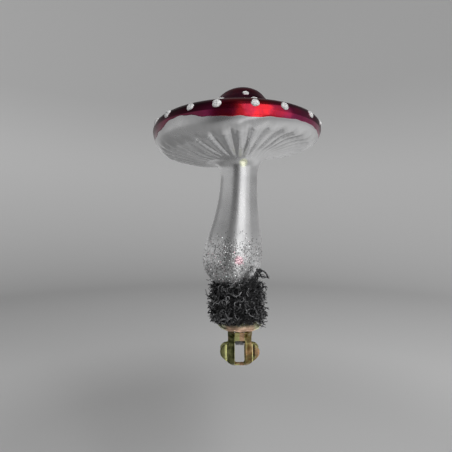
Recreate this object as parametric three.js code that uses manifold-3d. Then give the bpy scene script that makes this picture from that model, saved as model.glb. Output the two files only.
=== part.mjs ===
// Clip-on fly agaric ornament: a blown-glass toadstool on a collar of dried moss, held by a
// sprung brass clip that grips a twig. Millimetres, +Z up along the stem, the viewer at -Y.
// The origin is the middle of the space between the clip's jaws, where the twig lies.
import * as THREE from "three";
import { mergeVertices } from "three/addons/utils/BufferGeometryUtils.js";
import Module from "manifold-3d";

const wasm = await Module();
wasm.setup();

// Driving dimensions
const CAP_RADIUS = 40.8;
const CAP_EQUATOR_Z = 108.3;
const CROWN_HEIGHT = 23.3; // crown above the cap's widest circle
const UNDERSIDE_SAG = 3.4; // how much lower the underside hangs towards -X
const UNDERSIDE_LIFT = 2.3; // how much higher it is towards +X
const SAG_DEPTH = 4.6; // below the cap's widest circle, where the sag is whole
const BULB_SAG = 2.6; // how much lower the bulb's side hangs towards -X
const GLASS_WALL = 1.0;
const GILL_COUNT = 32;
const GILL_DEPTH = 1.0;
const CAP_SIDES = GILL_COUNT * 2;
const STEM_SIDES = 30;
const CAVITY_SIDES = 26;
const NECK_RADIUS = 4.6;
const NECK_END_Z = 16.3;
const CLEARANCE = 0.3; // between pieces that touch on the real ornament
const FLATNESS = 0.02; // the most that dropping a needless vertex may move a surface

const MOSS_RADIUS = 12.2;
const MOSS_TOP_Z = 37.0;
const MOSS_BOTTOM_Z = 15.8;
const MOSS_CENTRE_X = -1.3;
const MOSS_BLUNTNESS = 0.5; // below 1 the core's shoulders fill out towards a drum
const SPRIG_COUNT = 104;
const SPRIG_ROOT = 2.2; // how deep in the core a sprig starts
const SPRIG_RADIUS = 0.62;
const SPRIG_DROOP = 2.4; // how far the low sprigs at the sides hang

const SHEET = 0.6; // brass sheet thickness
const TRAY_RADIUS = 10.2;
const TRAY_BRIM_Z = 13.2;
const TRAY_FLOOR_Z = 15.4; // underside of the tray's raised middle
const TRAY_LOBES = 10;
const SOCKET_RADIUS = 5.0;
const SOCKET_TOP_Z = 21.5;
const PIVOT_Z = 5.6;
const PIN_RADIUS = 0.7;
const PIN_REACH = 5.2;
const CHEEK_INNER = 3.0; // from the middle to the sprung jaw's hinge plates
const CHEEK_RADIUS = 1.5;
const WINDOW_HALF_WIDTH = 2.5;
const WINDOW_BOTTOM_Z = -5.1;
const WINDOW_TOP_Z = 6.9;
const FLANK_ROLL = 1.2; // how far the jaws' flanks roll in
const TONGUE_HALF_WIDTH = 2.2;
const TONGUE_Y = 2.35; // middle of the tongue's sheet behind the axis
const RIVET_RADIUS = 1.0;

const BRASS = { color: 0xb8933a, roughness: 0.22, metalness: 1.0 };
const PEARL = { color: 0xc9c9cb, roughness: 0.25, metalness: 0.5 };
const MOSS = { color: 0x23262a, roughness: 0.95, metalness: 0.0 };
const STEEL = { color: 0x6c6a66, roughness: 0.35, metalness: 1.0 };

// Small seeded generator, so that every random draw is the same on every run.
function seeded(seed) {
  let state = seed >>> 0;
  return () => {
    state = (state * 1664525 + 1013904223) >>> 0;
    return state / 4294967296;
  };
}

const smooth = (low, high, value) => THREE.MathUtils.smoothstep(value, low, high);
const v2 = (x, y) => new THREE.Vector2(x, y);
const v3 = (x, y, z) => new THREE.Vector3(x, y, z);

// A closed geometry as a solid that can be joined and cut.
function solidFrom(geometry) {
  const bare = geometry.index ? geometry.toNonIndexed() : geometry.clone();
  for (const name of Object.keys(bare.attributes)) {
    if (name !== "position") bare.deleteAttribute(name);
  }
  const merged = mergeVertices(bare, 1e-3);
  const triVerts = new Uint32Array(merged.index.array);
  const vertProperties = new Float32Array(merged.attributes.position.array);
  return new wasm.Manifold(new wasm.Mesh({ numProp: 3, vertProperties, triVerts }));
}

// A solid as a geometry for a mesh, without the vertices that flat stretches don't need.
function geometryFrom(solid) {
  const mesh = solid.simplify(FLATNESS).getMesh();
  const geometry = new THREE.BufferGeometry();
  geometry.setAttribute("position", new THREE.BufferAttribute(mesh.vertProperties, 3));
  geometry.setIndex(new THREE.BufferAttribute(mesh.triVerts, 1));
  geometry.computeVertexNormals();
  return geometry;
}

function largestBody(solid) {
  return solid.decompose().sort((a, b) => b.volume() - a.volume())[0];
}

function joined(solids) {
  return solids.reduce((sum, solid) => sum.add(solid));
}

// A profile of (radius, height) points, listed from the bottom up, turned about Z.
function turned(points, sides) {
  return new THREE.LatheGeometry(points, sides).rotateX(Math.PI / 2);
}

function moveVertices(geometry, place) {
  const position = geometry.attributes.position;
  const point = new THREE.Vector3();
  for (let i = 0; i < position.count; i += 1) {
    point.fromBufferAttribute(position, i);
    place(point);
    position.setXYZ(i, point.x, point.y, point.z);
  }
  return geometry;
}

function tube(points, radius, sides, steps, taper = 1) {
  const section = new THREE.Shape(
    Array.from({ length: sides }, (_, i) => {
      const turn = (2 * Math.PI * i) / sides;
      return v2(radius * Math.cos(turn), radius * Math.sin(turn));
    }),
  );
  const path = new THREE.CatmullRomCurve3(points);
  const geometry = new THREE.ExtrudeGeometry(section, { steps, extrudePath: path });
  if (taper === 1) return geometry;
  const stations = path.getSpacedPoints(steps);
  return moveVertices(geometry, (point) => {
    const nearest = stations.reduce(
      (best, station, i) => {
        const gap = station.distanceTo(point);
        return gap < best.gap ? { gap, i } : best;
      },
      { gap: Infinity, i: 0 },
    ).i;
    const share = 1 - (1 - taper) * (nearest / steps);
    point.lerpVectors(stations[nearest], point.clone(), share);
  });
}

// Sideways drift of the hand-blown body's centre line, by height.
const LEAN = new THREE.SplineCurve([
  v2(0, 15),
  v2(0, 27),
  v2(-3.2, 37),
  v2(-3.65, 46),
  v2(-2.9, 57),
  v2(-1.3, 71),
  v2(-0.35, 88),
  v2(-0.6, 97),
  v2(-1.5, 104),
  v2(-1.5, 110),
  v2(0.4, 121),
  v2(1.4, 131.6),
]).getPoints(160);

function leanAt(height) {
  const above = LEAN.findIndex((point) => point.y >= height);
  if (above === 0) return LEAN[0].x;
  if (above < 0) return LEAN[LEAN.length - 1].x;
  const [low, high] = [LEAN[above - 1], LEAN[above]];
  return THREE.MathUtils.mapLinear(height, low.y, high.y, low.x, high.x);
}

// Puts a point of the straight turned body where the leaning body has it, with the cap's
// underside hanging lower towards -X and drawn up towards +X.
function leanBody(point) {
  const radius = Math.hypot(point.x, point.y);
  const cap = smooth(CAP_EQUATOR_Z - 30, CAP_EQUATOR_Z - 18, point.z);
  const most = THREE.MathUtils.lerp(BULB_SAG, UNDERSIDE_SAG, cap);
  const sag = most * smooth(-14, 22, -point.x);
  const rise = UNDERSIDE_LIFT * cap * (1 - smooth(27, CAP_RADIUS, radius));
  const lift = rise * smooth(2, 22, point.x);
  const under = smooth(0, SAG_DEPTH, CAP_EQUATOR_Z - point.z);
  point.z -= (sag - lift) * smooth(8.6, 17, radius) * under;
  point.x += leanAt(point.z);
}

// Section of the cap and stem: radius and height, from the neck's end up to the crown.
const UNDERSIDE = new THREE.SplineCurve([
  v2(6.4, CAP_EQUATOR_Z - 16.6),
  v2(9.9, CAP_EQUATOR_Z - 14.7),
  v2(12.6, CAP_EQUATOR_Z - 12.2),
  v2(17, CAP_EQUATOR_Z - 10.1),
  v2(24, CAP_EQUATOR_Z - 8.5),
  v2(31, CAP_EQUATOR_Z - 6.7),
  v2(36.2, CAP_EQUATOR_Z - 5.2),
  v2(39.6, CAP_EQUATOR_Z - 2.9),
  v2(CAP_RADIUS, CAP_EQUATOR_Z),
]);
const CAP_TOP = new THREE.SplineCurve([
  v2(CAP_RADIUS, CAP_EQUATOR_Z),
  v2(40.1, CAP_EQUATOR_Z + 2.9),
  v2(37.4, CAP_EQUATOR_Z + 5.2),
  v2(31.5, CAP_EQUATOR_Z + 7.3),
  v2(23.5, CAP_EQUATOR_Z + 9.6),
  v2(17, CAP_EQUATOR_Z + 12.4),
  v2(13, CAP_EQUATOR_Z + 16.6),
  v2(9.5, CAP_EQUATOR_Z + 20.3),
  v2(4.9, CAP_EQUATOR_Z + 22.6),
  v2(0, CAP_EQUATOR_Z + CROWN_HEIGHT),
]);
const STEM = new THREE.SplineCurve([
  v2(NECK_RADIUS, NECK_END_Z),
  v2(NECK_RADIUS, 27.5),
  v2(6.4, 32.5),
  v2(10.6, 37.2),
  v2(13.6, 43.2),
  v2(14.45, 48.8),
  v2(13.7, 56.8),
  v2(11.4, 67),
  v2(9.7, 77),
  v2(9.1, 86),
  v2(9.3, CAP_EQUATOR_Z - 20),
]);

// Spline points with the run of the outline offset inwards by a wall.
function inset(points, wall) {
  return points.map((point, i) => {
    const before = points[Math.max(0, i - 1)];
    const after = points[Math.min(points.length - 1, i + 1)];
    const along = after.clone().sub(before).normalize();
    const radius = Math.max(0, point.x - wall * along.y);
    return v2(i === points.length - 1 ? 0 : radius, point.y + wall * along.x);
  });
}

// Height of a gill ridge below the smooth underside, by angle and radius.
function gillDrop(angle, radius) {
  const sweep = 0.35 * Math.sin(5 * angle) + 0.2 * Math.sin(2 * angle + 1);
  const ridge = 0.5 + 0.5 * Math.cos(GILL_COUNT * angle);
  const reach = smooth(11, 24, radius) * (1 - smooth(35.5, 39.5, radius));
  return GILL_DEPTH * ridge * reach * (1 + 0.3 * sweep);
}

function buildCapOuter() {
  const axisCore = v2(0, CAP_EQUATOR_Z - 16.6);
  const profile = [
    axisCore,
    ...UNDERSIDE.getPoints(11),
    ...CAP_TOP.getPoints(12).slice(1),
  ];
  return moveVertices(turned(profile, CAP_SIDES), (point) => {
    const radius = Math.hypot(point.x, point.y);
    const below = point.z < CAP_EQUATOR_Z - 0.5;
    if (below) point.z -= gillDrop(Math.atan2(point.y, point.x), radius);
    leanBody(point);
  });
}

function buildStemOuter(sides, grow = 0) {
  const profile = STEM.getPoints(15).map((point) => v2(point.x + grow, point.y));
  const overlap = v2(9.4 + grow, CAP_EQUATOR_Z - 12);
  const low = v2(0, NECK_END_Z - grow);
  profile[0].y = low.y;
  const closed = [low, ...profile, overlap, v2(0, overlap.y)];
  return moveVertices(turned(closed, sides), leanBody);
}

function buildCavity() {
  const outline = [
    ...STEM.getPoints(10),
    ...UNDERSIDE.getPoints(7).slice(1),
    ...CAP_TOP.getPoints(9).slice(1),
  ];
  const inner = inset(outline, GLASS_WALL);
  inner[0].y = NECK_END_Z - 2;
  const closed = [v2(0, inner[0].y), ...inner];
  return moveVertices(turned(closed, CAVITY_SIDES), leanBody);
}

// Rings of raised white dots on the cap: how far along the cap's top outline, how many, the
// first one's angle from the viewer, the spread of the draw, and the dots' radius.
const DOT_RINGS = [
  { share: 0.098, count: 18, start: 8, jitter: 7, radius: 1.76 },
  { share: 0.33, count: 13, start: -17, jitter: 2, radius: 1.7 },
  { share: 0.47, count: 9, start: 20, jitter: 6, radius: 1.75 },
  { share: 0.67, count: 4, start: 5, jitter: 2, radius: 1.65 },
  { share: 0.78, count: 1, start: 150, jitter: 3, radius: 1.6 },
  { share: 0.99, count: 1, start: 160, jitter: 0, radius: 1.6 },
];
const DOT_SEED = 2588769;
const DOT_HEIGHT = 0.8;
const DOT_SINK = 0.7;
const DOT_SIDES = 6;

function buildDots() {
  const draw = seeded(DOT_SEED);
  const dots = [];
  for (const ring of DOT_RINGS) {
    for (let i = 0; i < ring.count; i += 1) {
      const turn = ring.start + (360 * i) / ring.count + ring.jitter * (2 * draw() - 1);
      const angle = THREE.MathUtils.degToRad(turn - 90);
      const radius = ring.radius * (0.88 + 0.24 * draw());
      const seat = CAP_TOP.getPoint(ring.share);
      const along = CAP_TOP.getTangent(ring.share);
      const normal = v3(along.y * Math.cos(angle), along.y * Math.sin(angle), -along.x);
      const centre = v3(seat.x * Math.cos(angle), seat.x * Math.sin(angle), seat.y);
      leanBody(centre);
      const dome = new THREE.LatheGeometry(
        [
          v2(0, -DOT_SINK),
          v2(radius, -DOT_SINK),
          v2(radius * 0.86, DOT_HEIGHT * 0.55),
          v2(0, DOT_HEIGHT),
        ],
        DOT_SIDES,
      );
      const stand = new THREE.Quaternion().setFromUnitVectors(v3(0, 1, 0), normal);
      dots.push(solidFrom(dome.applyQuaternion(stand).translate(...centre.toArray())));
    }
  }
  return dots;
}

function buildGlass() {
  const outer = joined([
    solidFrom(buildCapOuter()),
    solidFrom(buildStemOuter(STEM_SIDES)),
    ...buildDots(),
  ]);
  return largestBody(outer.subtract(solidFrom(buildCavity())));
}

// Dried moss: a lumpy core round the neck with curled sprigs standing out of it.
function buildMoss() {
  const draw = seeded(2024);
  const middle = (MOSS_TOP_Z + MOSS_BOTTOM_Z) / 2;
  const half = (MOSS_TOP_Z - MOSS_BOTTOM_Z) / 2;
  const rows = 8;
  const core = Array.from({ length: rows + 1 }, (_, i) => {
    const turn = -Math.PI / 2 + (Math.PI * i) / rows;
    const rise = Math.sign(Math.sin(turn)) * Math.abs(Math.sin(turn)) ** MOSS_BLUNTNESS;
    const reach = Math.max(0, Math.cos(turn)) ** MOSS_BLUNTNESS;
    return v2(i % rows ? MOSS_RADIUS * reach : 0, middle + half * rise);
  });
  const lumpy = moveVertices(turned(core, 22), (point) => {
    const angle = Math.atan2(point.y, point.x);
    const lump = 1 + 0.05 * Math.sin(5 * angle + point.z) + 0.04 * Math.sin(9 * angle);
    point.x = point.x * lump + MOSS_CENTRE_X;
    point.y *= lump;
  });
  const sprigs = Array.from({ length: SPRIG_COUNT }, (_, i) => {
    const height = -0.94 + (1.88 * (i + 0.5)) / SPRIG_COUNT;
    const angle = i * Math.PI * (3 - Math.sqrt(5));
    const ring = Math.sqrt(1 - height * height) ** MOSS_BLUNTNESS;
    const out = v3(ring * Math.cos(angle), ring * Math.sin(angle), height * 0.8).normalize();
    const root = v3(
      MOSS_CENTRE_X + (MOSS_RADIUS - SPRIG_ROOT) * ring * Math.cos(angle),
      (MOSS_RADIUS - SPRIG_ROOT) * ring * Math.sin(angle),
      middle + (half - 1.6) * Math.sign(height) * Math.abs(height) ** 0.8,
    );
    const side = v3(draw() - 0.5, draw() - 0.5, draw() - 0.5).cross(out).normalize();
    const reach = 4.0 + 2.6 * draw();
    const curl = 1.6 + 2.2 * draw();
    const sideways = Math.cos(angle) ** 2;
    const fall = SPRIG_DROOP * smooth(0.2, 0.9, -height) * (sideways - 0.4);
    const points = [0, 0.36, 0.7, 1].map((share) => {
      const point = root.clone();
      point.addScaledVector(out, reach * share * (1 - 0.12 * share));
      point.addScaledVector(side, curl * share * share);
      point.z -= fall * share;
      return point;
    });
    return solidFrom(tube(points, SPRIG_RADIUS, 3, 3, 0.55));
  });
  const tuft = joined([solidFrom(lumpy), ...sprigs]);
  const glassRoom = solidFrom(buildStemOuter(24, CLEARANCE + 0.1));
  const brimRoom = TRAY_RADIUS + 1.0;
  const floorRoom = TRAY_FLOOR_Z + SHEET + CLEARANCE;
  const socketRoom = SOCKET_RADIUS + SHEET + CLEARANCE;
  const trayRoom = solidFrom(
    turned(
      [
        v2(0, 8),
        v2(brimRoom, 8),
        v2(brimRoom, TRAY_BRIM_Z + 1.9),
        v2(9.2, TRAY_BRIM_Z + 1.9),
        v2(8.3, floorRoom),
        v2(socketRoom, floorRoom),
        v2(socketRoom, SOCKET_TOP_Z + CLEARANCE),
        v2(0, SOCKET_TOP_Z + CLEARANCE),
      ],
      24,
    ),
  );
  return largestBody(tuft.subtract(glassRoom).subtract(trayRoom));
}

// Scalloped brass tray, a shallow dome with a turned-up brim, and the socket on top of it that
// holds the glass neck.
function buildTray() {
  const floor = TRAY_FLOOR_Z;
  const hole = RIVET_RADIUS + CLEARANCE;
  const profile = [
    v2(hole, floor),
    v2(7.5, floor),
    v2(8.7, TRAY_BRIM_Z + 0.15),
    v2(9.3, TRAY_BRIM_Z),
    v2(TRAY_RADIUS, TRAY_BRIM_Z + 0.5),
    v2(TRAY_RADIUS - 0.2, TRAY_BRIM_Z + 1.05),
    v2(9.3, TRAY_BRIM_Z + 0.65),
    v2(8.1, floor + SHEET),
    v2(SOCKET_RADIUS + SHEET, floor + SHEET),
    v2(SOCKET_RADIUS + SHEET, SOCKET_TOP_Z),
    v2(SOCKET_RADIUS, SOCKET_TOP_Z),
    v2(SOCKET_RADIUS, floor + SHEET),
    v2(hole, floor + SHEET),
    v2(hole, floor),
  ];
  return solidFrom(
    moveVertices(turned(profile, TRAY_LOBES * 3), (point) => {
      const radius = Math.hypot(point.x, point.y);
      const angle = Math.atan2(point.y, point.x);
      const lobe = Math.cos(TRAY_LOBES * angle) * smooth(8.6, TRAY_RADIUS, radius);
      const stretch = 1 + 0.05 * lobe;
      point.x *= stretch;
      point.y *= stretch;
      point.z += 0.35 * lobe;
    }),
  );
}

function buildRivet() {
  const top = TRAY_FLOOR_Z + SHEET + CLEARANCE;
  const low = TRAY_FLOOR_Z - CLEARANCE - SHEET - CLEARANCE;
  const profile = [
    v2(0, low - 0.6),
    v2(1.5, low - 0.45),
    v2(1.7, low),
    v2(RIVET_RADIUS, low),
    v2(RIVET_RADIUS, top),
    v2(2.1, top),
    v2(1.7, top + 0.6),
    v2(0, top + 0.8),
  ];
  return solidFrom(turned(profile, 14));
}

// Half width of a jaw's strip at a height: narrow above the pivot, with a round lobe to each
// side lower down, and a rounded bottom edge.
const JAW_OUTLINE = new THREE.SplineCurve([
  v2(6.0, 12.6),
  v2(5.9, 9.0),
  v2(5.8, 6.6),
  v2(6.2, 5.5),
  v2(8.2, 5.0),
  v2(9.5, 3.5),
  v2(9.7, 1.6),
  v2(9.0, -0.8),
  v2(7.2, -3.0),
  v2(4.8, -4.8),
  v2(2.6, -5.9),
]).getPoints(120);

// Side line of a jaw, as (distance from the middle plane, height) from the finger end down to
// the gripping edge.
const JAW_SIDE = new THREE.SplineCurve([
  v2(6.6, 12.0),
  v2(5.2, 10.8),
  v2(3.4, 8.8),
  v2(2.65, 6.6),
  v2(2.85, 5.0),
  v2(4.0, 2.5),
  v2(4.3, -0.5),
  v2(3.3, -3.5),
  v2(1.5, -5.1),
  v2(0.5, -5.7),
]);

function jawHalfWidth(height) {
  const below = JAW_OUTLINE.findIndex((point) => point.y <= height);
  if (below === 0) return JAW_OUTLINE[0].x;
  if (below < 0) return JAW_OUTLINE[JAW_OUTLINE.length - 1].x;
  const [high, low] = [JAW_OUTLINE[below - 1], JAW_OUTLINE[below]];
  return THREE.MathUtils.mapLinear(height, high.y, low.y, high.x, low.x);
}

// How far the sheet stands in from its middle line: the flanks roll in from the window, and the
// lobes run on flat from them.
function jawRoll(x, height) {
  return FLANK_ROLL * smooth(2.7, 6.0, Math.abs(x)) * smooth(-6.2, -2.0, height);
}

// A jaw's bent sheet along the side line. side is -1 for the jaw towards the viewer and 1 for
// the one behind. Rows run down the side line and columns from flank to flank.
function bentSheet(side, rows, columns) {
  const stations = JAW_SIDE.getSpacedPoints(rows);
  const points = [];
  for (const skin of [-0.5, 0.5]) {
    for (let i = 0; i <= rows; i += 1) {
      const before = stations[Math.max(0, i - 1)];
      const after = stations[Math.min(rows, i + 1)];
      const along = after.clone().sub(before).normalize();
      const { x: out, y: level } = stations[i];
      const half = jawHalfWidth(level);
      for (let j = 0; j <= columns; j += 1) {
        const share = (2 * j) / columns - 1;
        const x = half * Math.sin(1.4 * share) / Math.sin(1.4);
        const shift = jawRoll(x, level) + skin * SHEET;
        points.push(v3(x, side * (out + shift * along.y), level - shift * along.x));
      }
    }
  }
  const width = columns + 1;
  const inner = (rows + 1) * width;
  const index = [];
  const quad = (a, b, c, d) => index.push(a, b, c, a, c, d);
  for (let i = 0; i < rows; i += 1) {
    for (let j = 0; j < columns; j += 1) {
      const a = i * width + j;
      quad(a, a + width, a + width + 1, a + 1);
      quad(inner + a, inner + a + 1, inner + a + width + 1, inner + a + width);
    }
    const left = i * width;
    const right = left + columns;
    quad(left, inner + left, inner + left + width, left + width);
    quad(right, right + width, inner + right + width, inner + right);
  }
  for (let j = 0; j < columns; j += 1) {
    const low = rows * width + j;
    quad(j, j + 1, inner + j + 1, inner + j);
    quad(low, inner + low, inner + low + 1, low + 1);
  }
  const geometry = new THREE.BufferGeometry().setFromPoints(points);
  geometry.setIndex(side < 0 ? index : index.reverse());
  return solidFrom(geometry);
}

// A rounded opening through both flanks of a jaw, cut along Y.
function windowCut(side) {
  const radius = 0.9;
  const shape = new THREE.Shape();
  shape.moveTo(-WINDOW_HALF_WIDTH + radius, WINDOW_BOTTOM_Z);
  shape.lineTo(WINDOW_HALF_WIDTH - radius, WINDOW_BOTTOM_Z);
  shape.absarc(WINDOW_HALF_WIDTH - radius, WINDOW_BOTTOM_Z + radius, radius, -Math.PI / 2, 0);
  shape.lineTo(WINDOW_HALF_WIDTH, WINDOW_TOP_Z);
  shape.lineTo(-WINDOW_HALF_WIDTH, WINDOW_TOP_Z);
  shape.absarc(-WINDOW_HALF_WIDTH + radius, WINDOW_BOTTOM_Z + radius, radius, Math.PI, 1.5 * Math.PI);
  const depth = 7;
  const geometry = new THREE.ExtrudeGeometry(shape, { depth, bevelEnabled: false, curveSegments: 3 });
  geometry.rotateX(Math.PI / 2).translate(0, side < 0 ? -0.2 : depth + 0.2, 0);
  return solidFrom(geometry);
}

// Hinge cheeks: two plates across the pin, each with its hole, that reach back to the sheet.
function cheeks(inner, side, reach) {
  return [-1, 1].map((end) => {
    const plate = new THREE.Shape();
    plate.absarc(0, 0, CHEEK_RADIUS, -Math.PI / 2, Math.PI / 2);
    plate.lineTo(-reach, CHEEK_RADIUS);
    plate.lineTo(-reach, -CHEEK_RADIUS);
    plate.closePath();
    const hole = new THREE.Path().absarc(0, 0, PIN_RADIUS + CLEARANCE, 0, 2 * Math.PI);
    plate.holes.push(hole);
    const geometry = new THREE.ExtrudeGeometry(plate, {
      depth: SHEET,
      bevelEnabled: false,
      curveSegments: 6,
    });
    geometry.rotateX(Math.PI / 2).rotateZ(Math.PI / 2);
    if (side > 0) geometry.rotateZ(Math.PI);
    geometry.computeBoundingBox();
    const low = end < 0 ? -inner - SHEET : inner;
    geometry.translate(low - geometry.boundingBox.min.x, 0, PIVOT_Z);
    return solidFrom(geometry);
  });
}

// The jaw towards the viewer, which turns about the pin and carries the finger lever.
function buildSprungJaw() {
  const whole = joined([bentSheet(-1, 16, 10), ...cheeks(CHEEK_INNER, -1, 2.7)]);
  return largestBody(whole.subtract(windowCut(-1)));
}

// The jaw behind, fixed to the tray by its lever's middle tongue, which stands up between the
// two halves of the lever and turns in under the tray.
function buildFixedJaw() {
  const tabTop = TRAY_FLOOR_Z - CLEARANCE;
  const bend = 1.4;
  const back = TONGUE_Y + SHEET / 2;
  const front = back - SHEET;
  const tip = -2.0;
  const root = WINDOW_TOP_Z - 0.1;
  const side = new THREE.Shape();
  side.moveTo(back, root);
  side.lineTo(back, tabTop - bend);
  side.absarc(back - bend, tabTop - bend, bend, 0, Math.PI / 2, false);
  side.lineTo(tip, tabTop);
  side.lineTo(tip, tabTop - SHEET);
  side.lineTo(back - bend, tabTop - SHEET);
  side.absarc(back - bend, tabTop - bend, bend - SHEET, Math.PI / 2, 0, true);
  side.lineTo(front, root);
  side.closePath();
  const width = 2 * TONGUE_HALF_WIDTH;
  const tongue = new THREE.ExtrudeGeometry(side, { depth: width, bevelEnabled: false, curveSegments: 4 });
  tongue.rotateX(Math.PI / 2).rotateZ(Math.PI / 2).translate(-width / 2, 0, 0);
  const slotWidth = 2 * (TONGUE_HALF_WIDTH + CLEARANCE);
  const slot = new THREE.BoxGeometry(slotWidth, 8, 8).translate(0, 6, WINDOW_TOP_Z + 4.8);
  const hole = new THREE.CylinderGeometry(RIVET_RADIUS + CLEARANCE, RIVET_RADIUS + CLEARANCE, 4, 14);
  hole.rotateX(Math.PI / 2).translate(0, 0, tabTop);
  const sheet = bentSheet(1, 16, 10).subtract(solidFrom(slot)).subtract(windowCut(1));
  const outerCheeks = cheeks(CHEEK_INNER + SHEET + CLEARANCE, 1, 2.7);
  const whole = joined([sheet, solidFrom(tongue), ...outerCheeks]);
  return largestBody(whole.subtract(solidFrom(hole)));
}

function buildPin() {
  const head = 0.5;
  const profile = [
    v2(0, -PIN_REACH),
    v2(1.1, -PIN_REACH + 0.12),
    v2(1.1, -PIN_REACH + head),
    v2(PIN_RADIUS, -PIN_REACH + head),
    v2(PIN_RADIUS, PIN_REACH - head),
    v2(1.1, PIN_REACH - head),
    v2(1.1, PIN_REACH - 0.12),
    v2(0, PIN_REACH),
  ];
  const pin = turned(profile, 12).rotateY(Math.PI / 2).translate(0, 0, PIVOT_Z);
  return solidFrom(pin);
}

// Torsion spring: a coil round the pin, with one end up against the sprung jaw's lever and the
// other up against the fixed jaw's tongue.
function buildSpring() {
  const wire = 0.27;
  const coil = 1.35;
  const turns = 5;
  const half = 1.9;
  const leg = 2.6;
  const start = Math.PI;
  const sweep = -2 * Math.PI * turns - Math.PI;
  const count = turns * 8 + 4;
  const points = [v3(-half, -coil - 0.62, PIVOT_Z + leg), v3(-half, -coil - 0.1, PIVOT_Z + leg * 0.4)];
  for (let i = 0; i <= count; i += 1) {
    const turn = start - (sweep * i) / count;
    const across = -half + (2 * half * i) / count;
    points.push(v3(across, coil * Math.cos(turn), PIVOT_Z + coil * Math.sin(turn)));
  }
  points.push(v3(half, coil + 0.02, PIVOT_Z + leg * 0.4), v3(half, coil + 0.1, PIVOT_Z + leg));
  return solidFrom(tube(points, wire, 4, 76));
}

function piece(name, solid, look) {
  const mesh = new THREE.Mesh(geometryFrom(solid), new THREE.MeshStandardMaterial(look));
  mesh.name = name;
  return mesh;
}

const ornament = new THREE.Group();
ornament.add(
  piece("glass_toadstool", buildGlass(), PEARL),
  piece("moss_collar", buildMoss(), MOSS),
  piece("clip_tray", buildTray(), BRASS),
  piece("tray_rivet", buildRivet(), BRASS),
  piece("jaw_fixed", buildFixedJaw(), BRASS),
  piece("jaw_sprung", buildSprungJaw(), BRASS),
  piece("hinge_pin", buildPin(), STEEL),
  piece("torsion_spring", buildSpring(), STEEL),
);

export default ornament;
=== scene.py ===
"""Clip-on fly agaric ornament: the finish of its glass, glitter, moss and sprung brass clip.

Sizes are in millimetres in the classes and become metres when a mesh is made. Angles run round Z
from +X, and are in degrees from the viewer's side (-Y), positive towards +X, where a name or a
comment says so.
"""
import logging
import math
from dataclasses import dataclass, field
from enum import Enum
from typing import Callable

import bpy
import numpy as np
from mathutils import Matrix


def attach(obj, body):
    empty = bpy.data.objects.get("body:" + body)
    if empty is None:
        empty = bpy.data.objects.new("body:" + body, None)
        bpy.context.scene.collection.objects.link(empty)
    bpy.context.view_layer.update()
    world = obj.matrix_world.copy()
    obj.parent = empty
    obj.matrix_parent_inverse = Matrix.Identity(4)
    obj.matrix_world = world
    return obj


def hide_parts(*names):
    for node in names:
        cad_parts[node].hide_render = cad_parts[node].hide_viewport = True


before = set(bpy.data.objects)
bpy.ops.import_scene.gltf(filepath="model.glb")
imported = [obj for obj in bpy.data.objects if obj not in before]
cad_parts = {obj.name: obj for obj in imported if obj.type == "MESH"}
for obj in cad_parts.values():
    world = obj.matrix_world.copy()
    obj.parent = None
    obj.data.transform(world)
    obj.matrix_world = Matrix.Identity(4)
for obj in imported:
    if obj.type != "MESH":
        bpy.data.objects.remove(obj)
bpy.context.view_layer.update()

log = logging.getLogger("toadstool")
logging.basicConfig(level=logging.INFO, format="%(name)s: %(message)s")

MM = 0.001
GOLDEN_ANGLE = math.pi * (3 - math.sqrt(5))
Array = np.ndarray
Draw = np.random.Generator
Socket = bpy.types.NodeSocket


class Body(Enum):
    """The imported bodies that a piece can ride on."""

    ORNAMENT = "ornament"
    JAW = "jaw"


class Slot(Enum):
    """The record's material slots."""

    PEARL = "pearl_glass"
    LACQUER = "red_lacquer"
    DOTS = "dot_glitter"
    GLITTER = "bulb_glitter"
    MOSS = "dried_moss"
    BRASS = "brass"
    STEEL = "spring_steel"


# Curves and grids


def smooth(low: float, high: float, value: Array) -> Array:
    """Eases from 0 at low to 1 at high as 3s squared minus 2s cubed of the share s between them."""
    share = np.clip((np.asarray(value, float) - low) / (high - low), 0, 1)
    return share * share * (3 - 2 * share)


def between(value: Array, rise: tuple, fall: tuple) -> Array:
    """Eases from 0 to 1 across the two values of rise, and back to 0 across those of fall."""
    return smooth(*rise, value) * (1 - smooth(*fall, value))


def hump(value: Array, middle: float, width: float) -> Array:
    """A bell of height 1: e to minus the square of the distance from its middle in widths."""
    return np.exp(-(((value - middle) / width) ** 2))


def unit(vectors: Array) -> Array:
    """Vectors scaled to length one along their last axis."""
    return vectors / np.maximum(np.linalg.norm(vectors, axis=-1, keepdims=True), 1e-12)


def stacked(*parts: Array) -> Array:
    """Coordinates spread to one common shape and put side by side along a last axis."""
    return np.stack(np.broadcast_arrays(*parts), -1)


def circle(sides: int) -> Array:
    """Evenly spaced angles of a whole turn."""
    return np.arange(sides) * 2 * math.pi / sides


def quarter(steps: int) -> Array:
    """A column of evenly spaced angles of a quarter turn, both ends included."""
    return np.linspace(0, math.pi / 2, steps)[:, None]


def polar(radius: Array, height: Array, angle: Array) -> Array:
    """Points at a radius and height round Z."""
    return stacked(radius * np.cos(angle), radius * np.sin(angle), height)


def from_viewer(angle: Array) -> Array:
    """Degrees from the viewer's side, from -180 to 180, of angles round Z."""
    return (np.degrees(angle) + 90 + 180) % 360 - 180


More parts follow.
